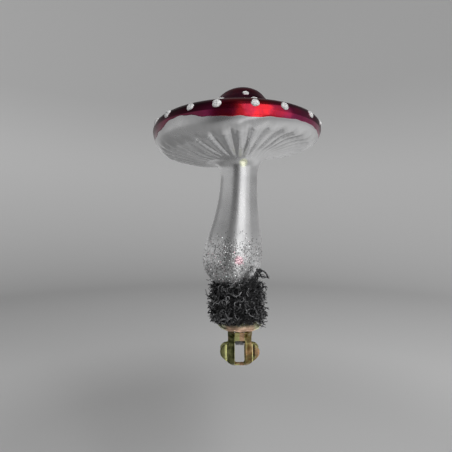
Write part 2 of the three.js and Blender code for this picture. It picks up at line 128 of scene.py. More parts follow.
def spline(points: list, samples: int) -> Array:
    """Points along an even-parameter spline through the given points, ends included.

    Between two neighbours it is the cubic whose end slopes are half the difference of the points
    on either side, with the end points repeated.

    Args:
        points: the points, each a row of coordinates.
        samples: how many points to make.
    Returns:
        The points along the curve.
    """
    knots = np.asarray(points, float)
    last = len(knots) - 1
    along = np.linspace(0, last, samples)
    index = np.minimum(along.astype(int), last - 1)
    w = (along - index)[:, None]
    before, start = knots[np.maximum(index - 1, 0)], knots[index]
    end, after = knots[index + 1], knots[np.minimum(index + 2, last)]
    leave, arrive = (end - before) / 2, (after - start) / 2
    cubic = 2 * start - 2 * end + leave + arrive
    square = 3 * end - 3 * start - 2 * leave - arrive
    return ((cubic * w + square) * w + leave) * w + start


def path_run(path: Array) -> Array:
    """Each point's distance along a path from its start."""
    return np.concatenate([[0], np.cumsum(np.linalg.norm(np.diff(path, axis=0), axis=1))])


def at_shares(path: Array, share: Array) -> Array:
    """Points of a path at shares of its length."""
    run = path_run(path)
    return stacked(*(np.interp(share * run[-1], run, values) for values in path.T))


def even_steps(path: Array, samples: int) -> Array:
    """A path resampled at equal steps of its length, ends included."""
    return at_shares(path, np.linspace(0, 1, samples))


def directions(line: Array) -> tuple:
    """The unit directions along a flat line and to the right of it, at each of its points."""
    along = unit(np.gradient(line, axis=0))
    return along, stacked(along[:, 1], -along[:, 0])


def grid_faces(rows: int, cols: int, wrap_rows: bool = False) -> Array:
    """Quads of a grid of rows by cols points, counted along each row, whose rows are closed rings.

    The quad at row r and column c joins it to column c + 1, then row r + 1, so faces point to the
    side that column steps crossed with row steps point to.

    Args:
        rows: how many rings.
        cols: how many points each has.
        wrap_rows: True to join the last ring to the first.
    Returns:
        An array of four point numbers for each quad.
    """
    r = np.arange(rows if wrap_rows else rows - 1)[:, None]
    c = np.arange(cols)[None, :]
    right, up = (c + 1) % cols, (r + 1) % rows
    return stacked(r * cols + c, r * cols + right, up * cols + right, up * cols + c).reshape(-1, 4)


def fan_faces(centre: int, ring: Array, outward: bool = True) -> Array:
    """Triangles from one point to each step of a closed ring of point numbers."""
    after, middle = np.roll(ring, -1), np.full(len(ring), centre)
    return stacked(middle, ring, after) if outward else stacked(middle, after, ring)


@dataclass
class Shape:
    """A mesh being gathered: points in millimetres, faces of equal length, and point attributes."""

    points: list = field(default_factory=list)
    faces: list = field(default_factory=list)
    values: dict = field(default_factory=dict)
    count: int = 0

    def add(self, points: Array, *faces: Array, **values: Array) -> None:
        """Adds points with their own faces and one value a point for each named attribute.

        Args:
            points: the points, of any shape with a last axis of three.
            faces: arrays of corners, counted from these points' first.
            values: numbers for each attribute, spread over the points.
        """
        flat = np.asarray(points, float).reshape(-1, 3)
        self.points.append(flat)
        self.faces.extend(np.asarray(f) + self.count for f in faces)
        for name, value in values.items():
            spread = np.broadcast_to(np.asarray(value, float).ravel(), (len(flat),))
            self.values.setdefault(name, []).append(spread)
        self.count += len(flat)

    def add_rings(self, points: Array, first: Array = None, last: Array = None, **values: Array) -> int:
        """Adds rings of points, each joined to the next, with a fan where an end has a pole.

        Args:
            points: the rings from the bottom up, shaped (rows, sides, 3).
            first: the pole of the first ring.
            last: the pole of the last ring.
            values: attributes of the rings' points, 0 at the poles.
        Returns:
            The number of the first point.
        """
        start, (rows, sides) = self.count, points.shape[:2]
        self.add(points, grid_faces(rows, sides), **values)
        for pole, row, outward in ((first, 0, False), (last, rows - 1, True)):
            if pole is not None:
                ring = np.arange(sides) + row * sides + start
                self.faces.append(fan_faces(self.count, ring, outward))
                self.add(pole, **dict.fromkeys(values, 0))
        return start

    def add_tubes(self, path: Array, radius: Array, sides: int, start_side: Array, **values: Array) -> None:
        """Adds a closed tube along each of many paths.

        At each station the ring lies across the path's direction, the difference of its
        neighbours. Its first point is turned towards the given side, made square to that
        direction.

        Args:
            path: stations of every path, shaped (paths, stations, 3).
            radius: the ring radius, shaped to spread over (paths, stations).
            sides: points a ring.
            start_side: a direction off the path for each one, shaped (paths, 3).
            values: attributes, shaped to spread over the points.
        """
        paths, stations = path.shape[:2]
        along = unit(np.gradient(path, axis=1))
        side = start_side[:, None, :]
        side = unit(side - along * (along * side).sum(-1, keepdims=True))
        across = np.cross(along, side)
        turn = circle(sides)[:, None]
        ring = side[:, :, None] * np.cos(turn) + across[:, :, None] * np.sin(turn)
        spread = np.broadcast_to(radius, (paths, stations))[:, :, None, None]
        corner = np.arange(sides)
        starts = np.arange(paths)[:, None] * stations * sides
        quads = (grid_faces(stations, sides) + starts[..., None]).reshape(-1, 4)
        tail = corner + starts + (stations - 1) * sides
        self.add(path[:, :, None] + ring * spread, quads, corner[::-1] + starts, tail, **values)

    def mesh(self, name: str, material: bpy.types.Material, creased: bool = False) -> bpy.types.Mesh:
        """The gathered shape as a mesh in metres, its faces flat if creased.

        Args:
            name: the mesh's name.
            material: its finish.
            creased: True to keep the faces flat.
        Returns:
            The mesh, with the attributes.
        """
        points = np.concatenate(self.points) * MM
        corners = np.concatenate([f.ravel() for f in self.faces])
        sizes = np.concatenate([np.full(len(f), f.shape[1]) for f in self.faces])
        mesh = bpy.data.meshes.new(name)
        mesh.vertices.add(len(points))
        mesh.vertices.foreach_set("co", points.astype(np.float32).ravel())
        mesh.loops.add(len(corners))
        mesh.loops.foreach_set("vertex_index", corners.astype(np.int32))
        mesh.polygons.add(len(sizes))
        mesh.polygons.foreach_set("loop_start", (np.cumsum(sizes) - sizes).astype(np.int32))
        mesh.polygons.foreach_set("use_smooth", np.full(len(sizes), not creased))
        mesh.update(calc_edges=True)
        for key, parts in self.values.items():
            layer = mesh.attributes.new(key, "FLOAT", "POINT")
            layer.data.foreach_set("value", np.concatenate(parts).astype(np.float32))
        mesh.materials.append(material)
        return mesh

    def make(self, name: str, body: Body, slot: Slot, material: bpy.types.Material,
             replaces: str = "", creased: bool = False) -> None:
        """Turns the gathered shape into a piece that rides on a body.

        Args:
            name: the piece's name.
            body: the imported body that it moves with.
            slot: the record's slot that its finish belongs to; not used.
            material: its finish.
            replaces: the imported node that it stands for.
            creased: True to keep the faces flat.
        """
        piece = placed(name, self.mesh(name, material, creased))
        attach(piece, body.value)
        if replaces:
            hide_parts(replaces)
        triangles = sum(len(f) * (f.shape[1] - 2) for f in self.faces)
        log.info("%s: %d triangles on %s", name, triangles, body.value)


def placed(name: str, data: bpy.types.ID) -> bpy.types.Object:
    """A new object in the scene for a mesh, a lamp or a camera.

    Args:
        name: the object's name.
        data: what it shows or does.
    Returns:
        The object, linked to the scene.
    """
    made = bpy.data.objects.new(name, data)
    bpy.context.scene.collection.objects.link(made)
    return made


# Finishes


class NodeSheet:
    """Short calls for building a shader or node-group tree."""

    def __init__(self, tree: bpy.types.NodeTree) -> None:
        """Clears the tree and keeps it."""
        self.tree = tree
        tree.nodes.clear()

    def feed(self, socket: Socket, value: object) -> None:
        """Links an output to a socket, or sets the socket to a plain value.

        Args:
            socket: the input to feed.
            value: an output, or the value to set.
        """
        if isinstance(value, Socket):
            self.tree.links.new(value, socket)
        else:
            socket.default_value = value

    def node(self, kind: str, **settings: object) -> bpy.types.Node:
        """Adds a shader node with its settings. Its inputs are set with put.

        Args:
            kind: the node's type after ShaderNode.
            settings: its properties by name.
        Returns:
            The node.
        """
        made = self.tree.nodes.new(f"ShaderNode{kind}")
        for key, value in settings.items():
            setattr(made, key, value)
        return made

    def put(self, node: bpy.types.Node, **values: object) -> bpy.types.Node:
        """Sets or links inputs by name, with underscores for spaces.

        Args:
            node: the node to feed.
            values: outputs or plain values by input name.
        Returns:
            The node.
        """
        for key, value in values.items():
            self.feed(node.inputs[key.replace("_", " ")], value)
        return node

    def math(self, operation: str, *inputs: object, clamp: bool = False) -> Socket:
        """A Math node on sockets or numbers.

        Args:
            operation: the node's operation.
            inputs: its sockets' values in order.
            clamp: True to keep the result from 0 to 1.
        Returns:
            The result.
        """
        made = self.node("Math", operation=operation, use_clamp=clamp)
        for socket, value in zip(made.inputs, inputs):
            self.feed(socket, value)
        return made.outputs[0]

    def span(self, value: Socket, low: float, high: float, start: float, end: float,
             ease: bool = True) -> Socket:
        """A Map Range node: value from low to high becomes start to end, eased or straight.

        Args:
            value: what is mapped.
            low: the value that becomes start.
            high: the value that becomes end.
            start: the result at low.
            end: the result at high.
            ease: False for a straight map.
        Returns:
            The result.
        """
        made = self.node("MapRange", interpolation_type="SMOOTHSTEP" if ease else "LINEAR")
        self.put(made, Value=value, From_Min=low, From_Max=high, To_Min=start, To_Max=end)
        return made.outputs["Result"]

    def blend(self, share: object, first: object, second: object, mode: str = "MIX") -> Socket:
        """A colour Mix node.

        Args:
            share: how much of the second colour.
            first: the colour at 0.
            second: the colour at 1.
            mode: the node's blend type.
        Returns:
            The mixed colour.
        """
        made = self.node("Mix", data_type="RGBA", blend_type=mode)
        for socket, value in zip((made.inputs[0], made.inputs[6], made.inputs[7]), (share, first, second)):
            self.feed(socket, value)
        return made.outputs[2]

    def noise(self, where: Socket, scale: object, **more: object) -> Socket:
        """A noise texture's value at a place."""
        return self.put(self.node("TexNoise"), Vector=where, Scale=scale, **more).outputs["Fac"]

    def tinted(self, colour: Socket, tone: Socket) -> Socket:
        """A colour multiplied by a tone."""
        grey = self.put(self.node("CombineColor"), Red=tone, Green=tone, Blue=tone)
        return self.blend(1.0, colour, grey.outputs[0], "MULTIPLY")

    def attribute(self, name: str) -> Socket:
        """The value of a piece's named attribute."""
        return self.node("Attribute", attribute_name=name).outputs["Fac"]

    def axes(self, where: Socket) -> Array:
        """The X, Y and Z of a place."""
        return self.put(self.node("SeparateXYZ"), Vector=where).outputs


def rgb(red: float, green: float, blue: float) -> tuple:
    """A colour with full alpha."""
    return (red, green, blue, 1.0)


def principled(name: str) -> tuple:
    """A new material with its sheet, its Principled shader and the piece's own coordinates.

    Args:
        name: the material's name.
    Returns:
        The material, its sheet, its shader and its coordinates.
    """
    material = bpy.data.materials.new(name)
    material.use_nodes = True
    sheet = NodeSheet(material.node_tree)
    shader = sheet.node("BsdfPrincipled")
    sheet.put(sheet.node("OutputMaterial"), Surface=shader.outputs["BSDF"])
    return material, sheet, shader, sheet.node("TexCoord").outputs["Object"]


def effect_group(name: str, inputs: dict, outputs: dict) -> tuple:
    """An empty node group with named sockets.

    Args:
        name: the group's name.
        inputs: socket name to (kind, default).
        outputs: socket name to kind.
    Returns:
        The group, its NodeSheet, the sockets of its inputs and its output node.
    """
    group = bpy.data.node_groups.new(name, "ShaderNodeTree")
    for key, (kind, default) in inputs.items():
        made = group.interface.new_socket(key, in_out="INPUT", socket_type=f"NodeSocket{kind}")
        if default is not None:
            made.default_value = default
    for key, kind in outputs.items():
        group.interface.new_socket(key, in_out="OUTPUT", socket_type=f"NodeSocket{kind}")
    sheet = NodeSheet(group)
    source, sink = group.nodes.new("NodeGroupInput"), group.nodes.new("NodeGroupOutput")
    return group, sheet, source.outputs, sink


def drift_group() -> bpy.types.NodeTree:
    """Handling marks: a colour that drifts in tone, and a roughness that drifts with it.

    Both follow a soft noise at Scale. Colour is multiplied by 1 minus Amount to 1 plus half of
    Amount, and roughness rises by up to Haze where the tone is low.

    Returns:
        The node group.
    """
    group, sheet, given, sink = effect_group(
        "Handling drift",
        {"Vector": ("Vector", None), "Colour": ("Color", rgb(0.8, 0.8, 0.8)), "Scale": ("Float", 90.0),
         "Amount": ("Float", 0.1), "Roughness": ("Float", 0.3), "Haze": ("Float", 0.05)},
        {"Colour": "Color", "Roughness": "Float"},
    )
    noise = sheet.noise(given["Vector"], given["Scale"], Detail=4.0, Roughness=0.6)
    mask = sheet.span(noise, 0.32, 0.68, 0.0, 1.0)
    lift = sheet.math("MULTIPLY_ADD", mask, 1.5, -1.0)
    tone = sheet.math("MULTIPLY_ADD", lift, given["Amount"], 1.0)
    dulled = sheet.math("SUBTRACT", 1.0, mask)
    rough = sheet.math("MULTIPLY_ADD", dulled, given["Haze"], given["Roughness"])
    sheet.put(sink, Colour=sheet.tinted(given["Colour"], tone), Roughness=rough)
    return group


def grain_group() -> bpy.types.NodeTree:
    """Fine relief: two noises, one three times the other's scale, added and read as heights.

    Returns:
        The node group.
    """
    group, sheet, given, sink = effect_group(
        "Fine relief",
        {"Vector": ("Vector", None), "Scale": ("Float", 600.0), "Depth": ("Float", 0.00002)},
        {"Normal": "Vector"},
    )
    broad = sheet.noise(given["Vector"], given["Scale"], Detail=2.0)
    fine = sheet.noise(given["Vector"], sheet.math("MULTIPLY", given["Scale"], 3.1))
    height = sheet.math("MULTIPLY_ADD", fine, 0.4, broad)
    bump = sheet.put(sheet.node("Bump"), Height=height, Distance=given["Depth"], Strength=1.0)
    sheet.put(sink, Normal=bump.outputs["Normal"])
    return group


@dataclass(frozen=True)
class Workshop:
    """The shared effects that finishes are mixed from."""

    drift: bpy.types.NodeTree
    grain: bpy.types.NodeTree

    @classmethod
    def open(cls) -> "Workshop":
        """Builds each shared effect once."""
        return cls(drift_group(), grain_group())


@dataclass(frozen=True)
class Finish:
    """What every finish has: the shared effects, a name, and a look that feeds its shader."""

    shop: Workshop
    name: str = "finish"

    def look(self, sheet: NodeSheet, where: Socket) -> dict:
        """The shader's inputs, from the piece's coordinates. Each finish has its own."""
        raise NotImplementedError

    def material(self) -> bpy.types.Material:
        """The finish as a material.

        Returns:
            The material.
        """
        material, sheet, shader, where = principled(self.name)
        sheet.put(shader, **self.look(sheet, where))
        return material

    def worn(self, sheet: NodeSheet, where: Socket, colour: object, scale: float, amount: float,
             rough: float, haze: float) -> dict:
        """The shader's colour and roughness, drifting with handling by the given values.

        Args:
            sheet: the material's nodes.
            where: the piece's coordinates.
            colour: the colour before the drift.
            scale: the drift's noise scale.
            amount: how far the tone drifts.
            rough: the least roughness.
            haze: the most that roughness rises.
        Returns:
            The shader's colour and roughness by name.
        """
        made = sheet.node("Group", node_tree=self.shop.drift)
        sheet.put(made, Vector=where, Colour=colour, Scale=scale, Amount=amount, Roughness=rough, Haze=haze)
        return {"Base_Color": made.outputs["Colour"], "Roughness": made.outputs["Roughness"]}

    def grain(self, sheet: NodeSheet, where: Socket, scale: float, depth: float) -> Socket:
        """The normal of fine relief, its depth in millimetres."""
        made = sheet.node("Group", node_tree=self.shop.grain)
        return sheet.put(made, Vector=where, Scale=scale, Depth=depth * MM).outputs["Normal"]


@dataclass(frozen=True)
class RedLacquer(Finish):
    """Transparent wine-red lacquer over silvering: a red mirror under a clear gloss coat."""

    name: str = "red lacquer over silver"
    # The first colour is the painted highlight's orange-red, the second the lacquer's own wine, the third
    # painted shade.
    thin: tuple = rgb(0.78, 0.015, 0.03)
    thick: tuple = rgb(0.34, 0.016, 0.105)
    painted_dark_red: tuple = rgb(0.11, 0.008, 0.028)

    def look(self, sheet: NodeSheet, where: Socket) -> dict:
        """Pools darker in slow patches, and carries painted light from the attribute thin: the painted
        highlight's orange-red where it is above 0, painted shade below it.

        Args:
            sheet: the material's nodes.
            where: the piece's coordinates.
        Returns:
            The shader's inputs by name.
        """
        thin = sheet.attribute("thin")
        pool = sheet.span(sheet.noise(where, 150.0, Detail=3, Roughness=0.55), 0.32, 0.68, -0.3, 0.35)
        # Painted light: above 0 the attribute thin blends to the painted highlight, below 0 to painted shade.
        colour = sheet.blend(sheet.math("ADD", thin, pool, clamp=True), self.thick, self.thin)
        colour = sheet.blend(sheet.math("MULTIPLY", thin, -1.0, clamp=True), colour, self.painted_dark_red)
        return dict(self.worn(sheet, where, colour, 300.0, 0.16, 0.14, 0.08), Metallic=1.0,
                    Normal=self.grain(sheet, where, 520.0, 0.02), Coat_Weight=0.4, Coat_Roughness=0.12)


@dataclass(frozen=True)
class PearlGlass(Finish):
    """Satin pearl white over silvering, with a blush of dull patches."""

    name: str = "pearl silvered glass"
    colour: tuple = rgb(0.70, 0.70, 0.705)
    # shade is the colour of the painted shade.
    shade: tuple = rgb(0.43, 0.43, 0.435)
    # Colours of the painted pink and yellow reflections.
    pink: tuple = rgb(1.0, 0.66, 0.73)
    yellow: tuple = rgb(0.97, 1.0, 0.75)

    def look(self, sheet: NodeSheet, where: Socket) -> dict:
        """Drifts in tone and gloss, darkened by painted shade in the gill valleys and below the red, with
        painted pink and yellow reflections.

        Args:
            sheet: the material's nodes.
            where: the piece's coordinates.
        Returns:
            The shader's inputs by name.
        """
        colour = sheet.blend(sheet.attribute("painted_pearl_shade"), self.colour, self.shade)
        for name, tint in (("pink", self.pink), ("yellow", self.yellow)):
            colour = sheet.blend(sheet.attribute(name), colour, tint)
        return dict(self.worn(sheet, where, colour, 70.0, 0.08, 0.25, 0.09), Metallic=0.82,
                    Normal=self.grain(sheet, where, 350.0, 0.01), Coat_Weight=0.5, Coat_Roughness=0.12)


@dataclass(frozen=True)
class GlitterPaste(Finish):
    """Dried white glue packed with silver grit."""

    name: str = "glitter paste"

    def look(self, sheet: NodeSheet, where: Socket) -> dict:
        """White paste with grey grains and small sparkling cells.

        Args:
            sheet: the material's nodes.
            where: the piece's coordinates.
        Returns:
            The shader's inputs by name.
        """
        cells = sheet.put(sheet.node("TexVoronoi", feature="F1"), Vector=where, Scale=2600.0)
        shade, gloss, spark = sheet.put(sheet.node("SeparateColor"), Color=cells.outputs["Color"]).outputs
        return {"Base_Color": sheet.blend(shade, rgb(0.60, 0.60, 0.61), rgb(0.92, 0.92, 0.91)),
                "Roughness": sheet.span(gloss, 0.0, 1.0, 0.35, 0.7, False),
                "Metallic": sheet.span(spark, 0.6, 0.75, 0.0, 0.5),
                "Normal": self.grain(sheet, where, 1500.0, 0.05)}


@dataclass(frozen=True)
class GlitterFlake(Finish):
    """Cut foil flakes, each with its own hue in the attribute tint and brightness in tone."""

    name: str = "foil glitter"
    dimmest: float = 0.1
    metal: float = 1.0

    def look(self, sheet: NodeSheet, where: Socket) -> dict:
        """Foil from dark to bright silver, with a few flakes that lean to pink or green.

        Args:
            sheet: the material's nodes.
            where: the piece's coordinates.
        Returns:
            The shader's inputs by name.
        """
        tone = sheet.attribute("tone")
        ramp = sheet.node("ValToRGB")
        stops = ramp.color_ramp.elements
        stops[0].color, stops[1].color = rgb(0.78, 0.93, 0.89), rgb(1.0, 0.5, 0.6)
        stops.new(0.1).color = rgb(0.97, 0.97, 0.97)
        stops.new(0.9).color = rgb(0.98, 0.98, 0.99)
        sheet.put(ramp, Fac=sheet.attribute("tint"))
        dim = sheet.span(tone, 0.0, 1.0, self.dimmest, 1.0, False)
        return {"Base_Color": sheet.tinted(ramp.outputs["Color"], dim), "Metallic": self.metal,
                "Roughness": sheet.span(tone, 0.0, 1.0, 0.4, 0.12, False)}


@dataclass(frozen=True)
class MossFibre(Finish):
    """Charcoal dried moss. The attribute tone lightens some strands and every tip."""

    name: str = "dried moss"
    dark: tuple = rgb(0.003, 0.003, 0.004)
    light: tuple = rgb(0.40, 0.40, 0.41)

    def look(self, sheet: NodeSheet, where: Socket) -> dict:
        """Dark fibre that greys towards its tips, with a dull sheen.

        Args:
            sheet: the material's nodes.
            where: the piece's coordinates.
        Returns:
            The shader's inputs by name.
        """
        mottle = sheet.noise(where, 1400.0, Detail=2, Roughness=0.55)
        share = sheet.math("ADD", sheet.attribute("tone"), sheet.math("MULTIPLY_ADD", mottle, 0.5, -0.25))
        return {"Base_Color": sheet.blend(share, self.dark, self.light),
                "Roughness": sheet.span(share, 0.0, 1.0, 0.75, 0.5, False),
                "Normal": self.grain(sheet, where, 3000.0, 0.05), "Sheen_Weight": 0.08,
                "Sheen_Roughness": 0.4}


@dataclass(frozen=True)
class BrassSheet(Finish):
    """Polished stamped brass, olive-gold with copper blushes and fine draw lines."""

    name: str = "polished brass"
    gold: tuple = rgb(0.62, 0.62, 0.27)
    copper: tuple = rgb(0.80, 0.46, 0.30)
    # olive and umber are the colours of the painted shade.
    olive: tuple = rgb(0.06, 0.068, 0.024)
    umber: tuple = rgb(0.17, 0.095, 0.032)
    rough: float = 0.14
    metal: float = 1.0

    def look(self, sheet: NodeSheet, where: Socket) -> dict:
        """Blushes to copper in patches, and is darkened by painted shade.

        The painted shade attribute marks the jaws' flanks, lobes and hinge plates, tinted olive towards
        -X and umber towards +X, and the attribute blush adds copper.

        Args:
            sheet: the material's nodes.
            where: the piece's coordinates.
        Returns:
            The shader's inputs by name.
        """
        patch = sheet.span(sheet.noise(where, 150.0, Detail=2, Roughness=0.55), 0.52, 0.7, 0.0, 0.8)
        colour = sheet.blend(sheet.math("MAXIMUM", patch, sheet.attribute("blush")), self.gold, self.copper)
        # Painted shade, olive towards -X and umber towards +X, unevenly where the attribute marks it.
        side = sheet.span(sheet.axes(where)["X"], -0.001, 0.001, 0.0, 1.0)
        uneven = sheet.span(sheet.noise(where, 420.0, Detail=3, Roughness=0.55), 0.35, 0.65, 0.65, 1.0)
        dulled = sheet.math("MULTIPLY", sheet.attribute("fold"), uneven)
        colour = sheet.blend(dulled, colour, sheet.blend(side, self.olive, self.umber))
        lines = sheet.put(sheet.node("Mapping"), Vector=where, Scale=(9.0, 9.0, 0.5)).outputs[0]
        return dict(self.worn(sheet, where, colour, 400.0, 0.16, self.rough, 0.12), Metallic=self.metal,
                    Normal=self.grain(sheet, lines, 260.0, 0.006))


@dataclass(frozen=True)
class DrawnSteel(Finish):
    """Dark drawn wire and pin stock."""

    name: str = "drawn steel"

    def look(self, sheet: NodeSheet, where: Socket) -> dict:
        """Steel with an oily, uneven gloss.

        Args:
            sheet: the material's nodes.
            where: the piece's coordinates.
        Returns:
            The shader's inputs by name.
        """
        return dict(self.worn(sheet, where, rgb(0.30, 0.30, 0.31), 900.0, 0.3, 0.24, 0.2), Metallic=1.0,
                    Normal=self.grain(sheet, where, 2500.0, 0.008))


# The blown glass

# The centre line's sideways drift: offset along X and height
LEAN = [(0, 15), (0, 27), (-3.2, 37), (-3.65, 46), (-2.9, 57), (-1.3, 71), (-0.35, 88), (-0.6, 97),
        (-1.5, 104), (-1.5, 110), (0.4, 121), (1.4, 131.6)]
# Half sections as radius and height, the cap's heights from its widest circle
STEM = [(4.6, 16.3), (4.6, 27.5), (6.4, 32.5), (10.6, 37.2), (13.6, 43.2), (14.45, 48.8), (13.7, 56.8),
        (11.4, 67), (9.7, 77), (9.1, 86)]
THROAT = [(9.25, -18.4), (9.9, -15.3), (12.0, -12.7)]
UNDERSIDE = [(17, -10.1), (24, -8.5), (31, -6.7), (36.2, -5.2), (39.6, -2.9)]
CAP_TOP = [(40.79, 0), (40.1, 2.9), (37.4, 5.2), (31.5, 7.3), (23.5, 9.6), (17, 12.4), (13, 16.6),
           (9.5, 20.3), (4.9, 22.6), (0, 23.3)]
# The red's lower edge as degrees from the viewer and depth below the widest circle
LACQUER_EDGE = [(-180, 2.2), (-135, 1.8), (-100, 2.1), (-72, 2.45), (-60, 2.0), (-53, 1.65), (-48, 0.95),
                (-42, 0.65), (-37, 0.24), (-32, 0.57), (-25, 1.05), (-20, 1.45), (-10, 1.85), (0, 2.1),
                (8, 2.6), (18, 2.35), (28, 2.1), (40, 1.75), (52, 1.9), (60, 2.3), (70, 2.9), (100, 2.6),
                (140, 2.1), (180, 2.2)]

# Middles of a painted pink reflection on the bulb and a painted yellow reflection on the throat
PINK_PAINTED_REFLECTION = (-0.9, -13.9, 47.6)
YELLOW_PAINTED_REFLECTION = (1.5, -10.2, 93.3)


def near(points: Array, spot: tuple, inner: float, outer: float) -> Array:
    """1 within the inner distance of a spot, easing to 0 at the outer."""
    return 1 - smooth(inner, outer, np.linalg.norm(points - np.array(spot), axis=-1))


@dataclass
class GlassBody:
    """The one hollow blown piece: neck, bulb, stem, gilled underside and capped top."""

    shop: Workshop
    equator: float = 108.3
    wall: float = 1.0
    sag: float = 3.4
    lift: float = 2.3
    sag_depth: float = 4.6
    bulb_sag: float = 2.6
    gills: int = 32
    gill_depth: float = 1.0
    pearl_inset: float = 0.08
    crown_inset: float = 0.45
    lacquer_coat: float = 0.01
    stem_sides: int = 192
    cap_sides: int = 576
    lacquer_sides: int = 384
    lacquer_rows: int = 118
    tuck_in: float = 0.25
    tuck_up: float = 0.05

    def __post_init__(self) -> None:
        """Works out the finished half sections and the lean from their key points."""
        under, top = ([(r, z + self.equator) for r, z in pairs]
                      for pairs in (THROAT + UNDERSIDE + CAP_TOP[:1], CAP_TOP))
        self.lean = spline(LEAN, 240)
        self.pearl_line, self.top_line = spline(STEM + under, 900), spline(top, 500)

    def set_down(self, radius: Array, height: Array, angle: Array) -> Array:
        """Puts points of the straight turned body where the leaning body has them.

        The underside hangs lower towards -X by a share of the sag and is drawn up towards +X by a
        share of the lift, and every point moves along X by the lean at its height.

        Args:
            radius: distance from the body's own axis.
            height: height before sag.
            angle: angle round the axis.
        Returns:
            The points, with a last axis of three.
        """
        x, y = radius * np.cos(angle), radius * np.sin(angle)
        cap = smooth(self.equator - 30, self.equator - 18, height)
        sag = (self.bulb_sag + (self.sag - self.bulb_sag) * cap) * smooth(-14, 22, -x)
        lift = self.lift * cap * (1 - smooth(27, 40.8, radius)) * smooth(2, 22, x)
        under = smooth(0, self.sag_depth, self.equator - height)
        z = height - (sag - lift) * smooth(8.6, 17, radius) * under
        return stacked(x + np.interp(z, self.lean[:, 1], self.lean[:, 0]), y, z)

    def gill_drop(self, angle: Array, radius: Array) -> Array:
        """How far the underside's ribs stand down.

        Broad rounded ribs with narrow valleys: the size of a cosine of half the gill count times
        the angle, to the power 0.8, with the angle wavering a little. Shorter ribs at twice the
        count, and a wrinkle from crossing sines, add to it near the rim.

        Args:
            angle: angle round the axis.
            radius: distance from it.
        Returns:
            The drop at each place.
        """
        waver = angle + 0.011 * np.sin(3 * angle + 0.7) + 0.006 * np.sin(11 * angle + radius / 9)
        sweep = 1 + 0.105 * np.sin(5 * angle) + 0.06 * np.sin(2 * angle + 1)
        rib = np.abs(np.cos(self.gills * waver / 2)) ** 0.8 * sweep
        fine = np.abs(np.cos(self.gills * waver + 0.9 * np.sin(4 * angle))) ** 0.6
        wrinkle = np.sin(1.9 * radius + 3 * np.sin(13 * angle)) * np.sin(47 * angle + radius / 2)
        reach = between(radius, (10.5, 22), (34.5, 39.5))
        short = between(radius, (22, 31), (36.5, 39.5))
        return self.gill_depth * (rib * reach + (0.16 * fine + 0.05 * wrinkle) * short)

    def lacquer_edge(self, angle: Array) -> Array:
        """How far below the widest circle the red reaches: the painter's line with two fine waves.

        Args:
            angle: angle round the axis.
        Returns:
            The depth of the edge.
        """
        line = spline(LACQUER_EDGE, 600)
        wave = 0.07 * np.sin(23 * angle + 2) + 0.06 * np.sin(41 * angle)
        return np.interp(from_viewer(angle), line[:, 0], line[:, 1]) + wave

    def painted_rim_shade(self, angle: Array, height: Array) -> Array:
        """Painted shade on the pearl just below the red, fading in 2 mm, less towards +X.

        Args:
            angle: angle round the axis.
            height: height before sag.
        Returns:
            The shade's share.
        """
        below = self.equator - self.lacquer_edge(angle) - height
        side = 0.75 - 0.45 * smooth(-5, 40, np.cos(angle) * 41)
        return side * between(below, (-1.2, -0.2), (0.2, 2.3))

    def marks(self, points: Array, painted_pearl_shade: object) -> dict:
        """The pearl's attributes at points: painted shade in the gill valleys and below the red, and the
        painted pink and yellow reflections.
        """
        return {"painted_pearl_shade": painted_pearl_shade, "pink": 0.9 * near(points, PINK_PAINTED_REFLECTION, 1.3, 2.7),
                "yellow": near(points, YELLOW_PAINTED_REFLECTION, 1.3, 2.5)}

    def neck_line(self, stem: Array) -> Array:
        """The half section from inside the neck, round its lip and up the stem.

        Args:
            stem: the stem's half section.
        Returns:
            The half section as radius and height.
        """
        radius, height = STEM[0]
        half = self.wall / 2
        turn = np.linspace(-math.pi, 0, 7)[:, None]
        lip = np.array([radius - half, height + half]) + half * np.hstack([np.cos(turn), np.sin(turn)])
        inner = stacked(radius - self.wall, np.linspace(26, height + 1, 6))
        return np.vstack([inner, lip, stem[stem[:, 1] > lip[-1, 1] + 0.1]])

    def crown_line(self) -> Array:
        """The pearl's half section under the red top, set in from it.

        Returns:
            The half section as radius and height.
        """
        crown = self.top_line[::26]
        crown = crown[crown[:, 1] > self.equator + 1.2] - self.crown_inset
        return np.maximum(crown, (0, 0))

    def body_shape(self) -> Shape:
        """The pearl surface from the neck's inner lip up to a hidden crown under the lacquer.

        Returns:
            The closed shape, with the pearl's attributes.
        """
        line = self.pearl_line
        throat = (9.9, self.equator - 15.5)
        split = int(np.argmin(np.abs(line - throat).sum(1)))
        low = self.neck_line(even_steps(line[:split + 1], 120))
        radius, height = even_steps(line[split:], 104)[1:].T[:, :, None]
        crown = self.crown_line()
        coarse, fine = circle(self.stem_sides), circle(self.cap_sides)
        shape = Shape()
        low_points = self.set_down(low[:, :1], low[:, 1:], coarse)
        shape.add_rings(low_points, **self.marks(low_points, 0))
        drop = self.gill_drop(fine, radius)
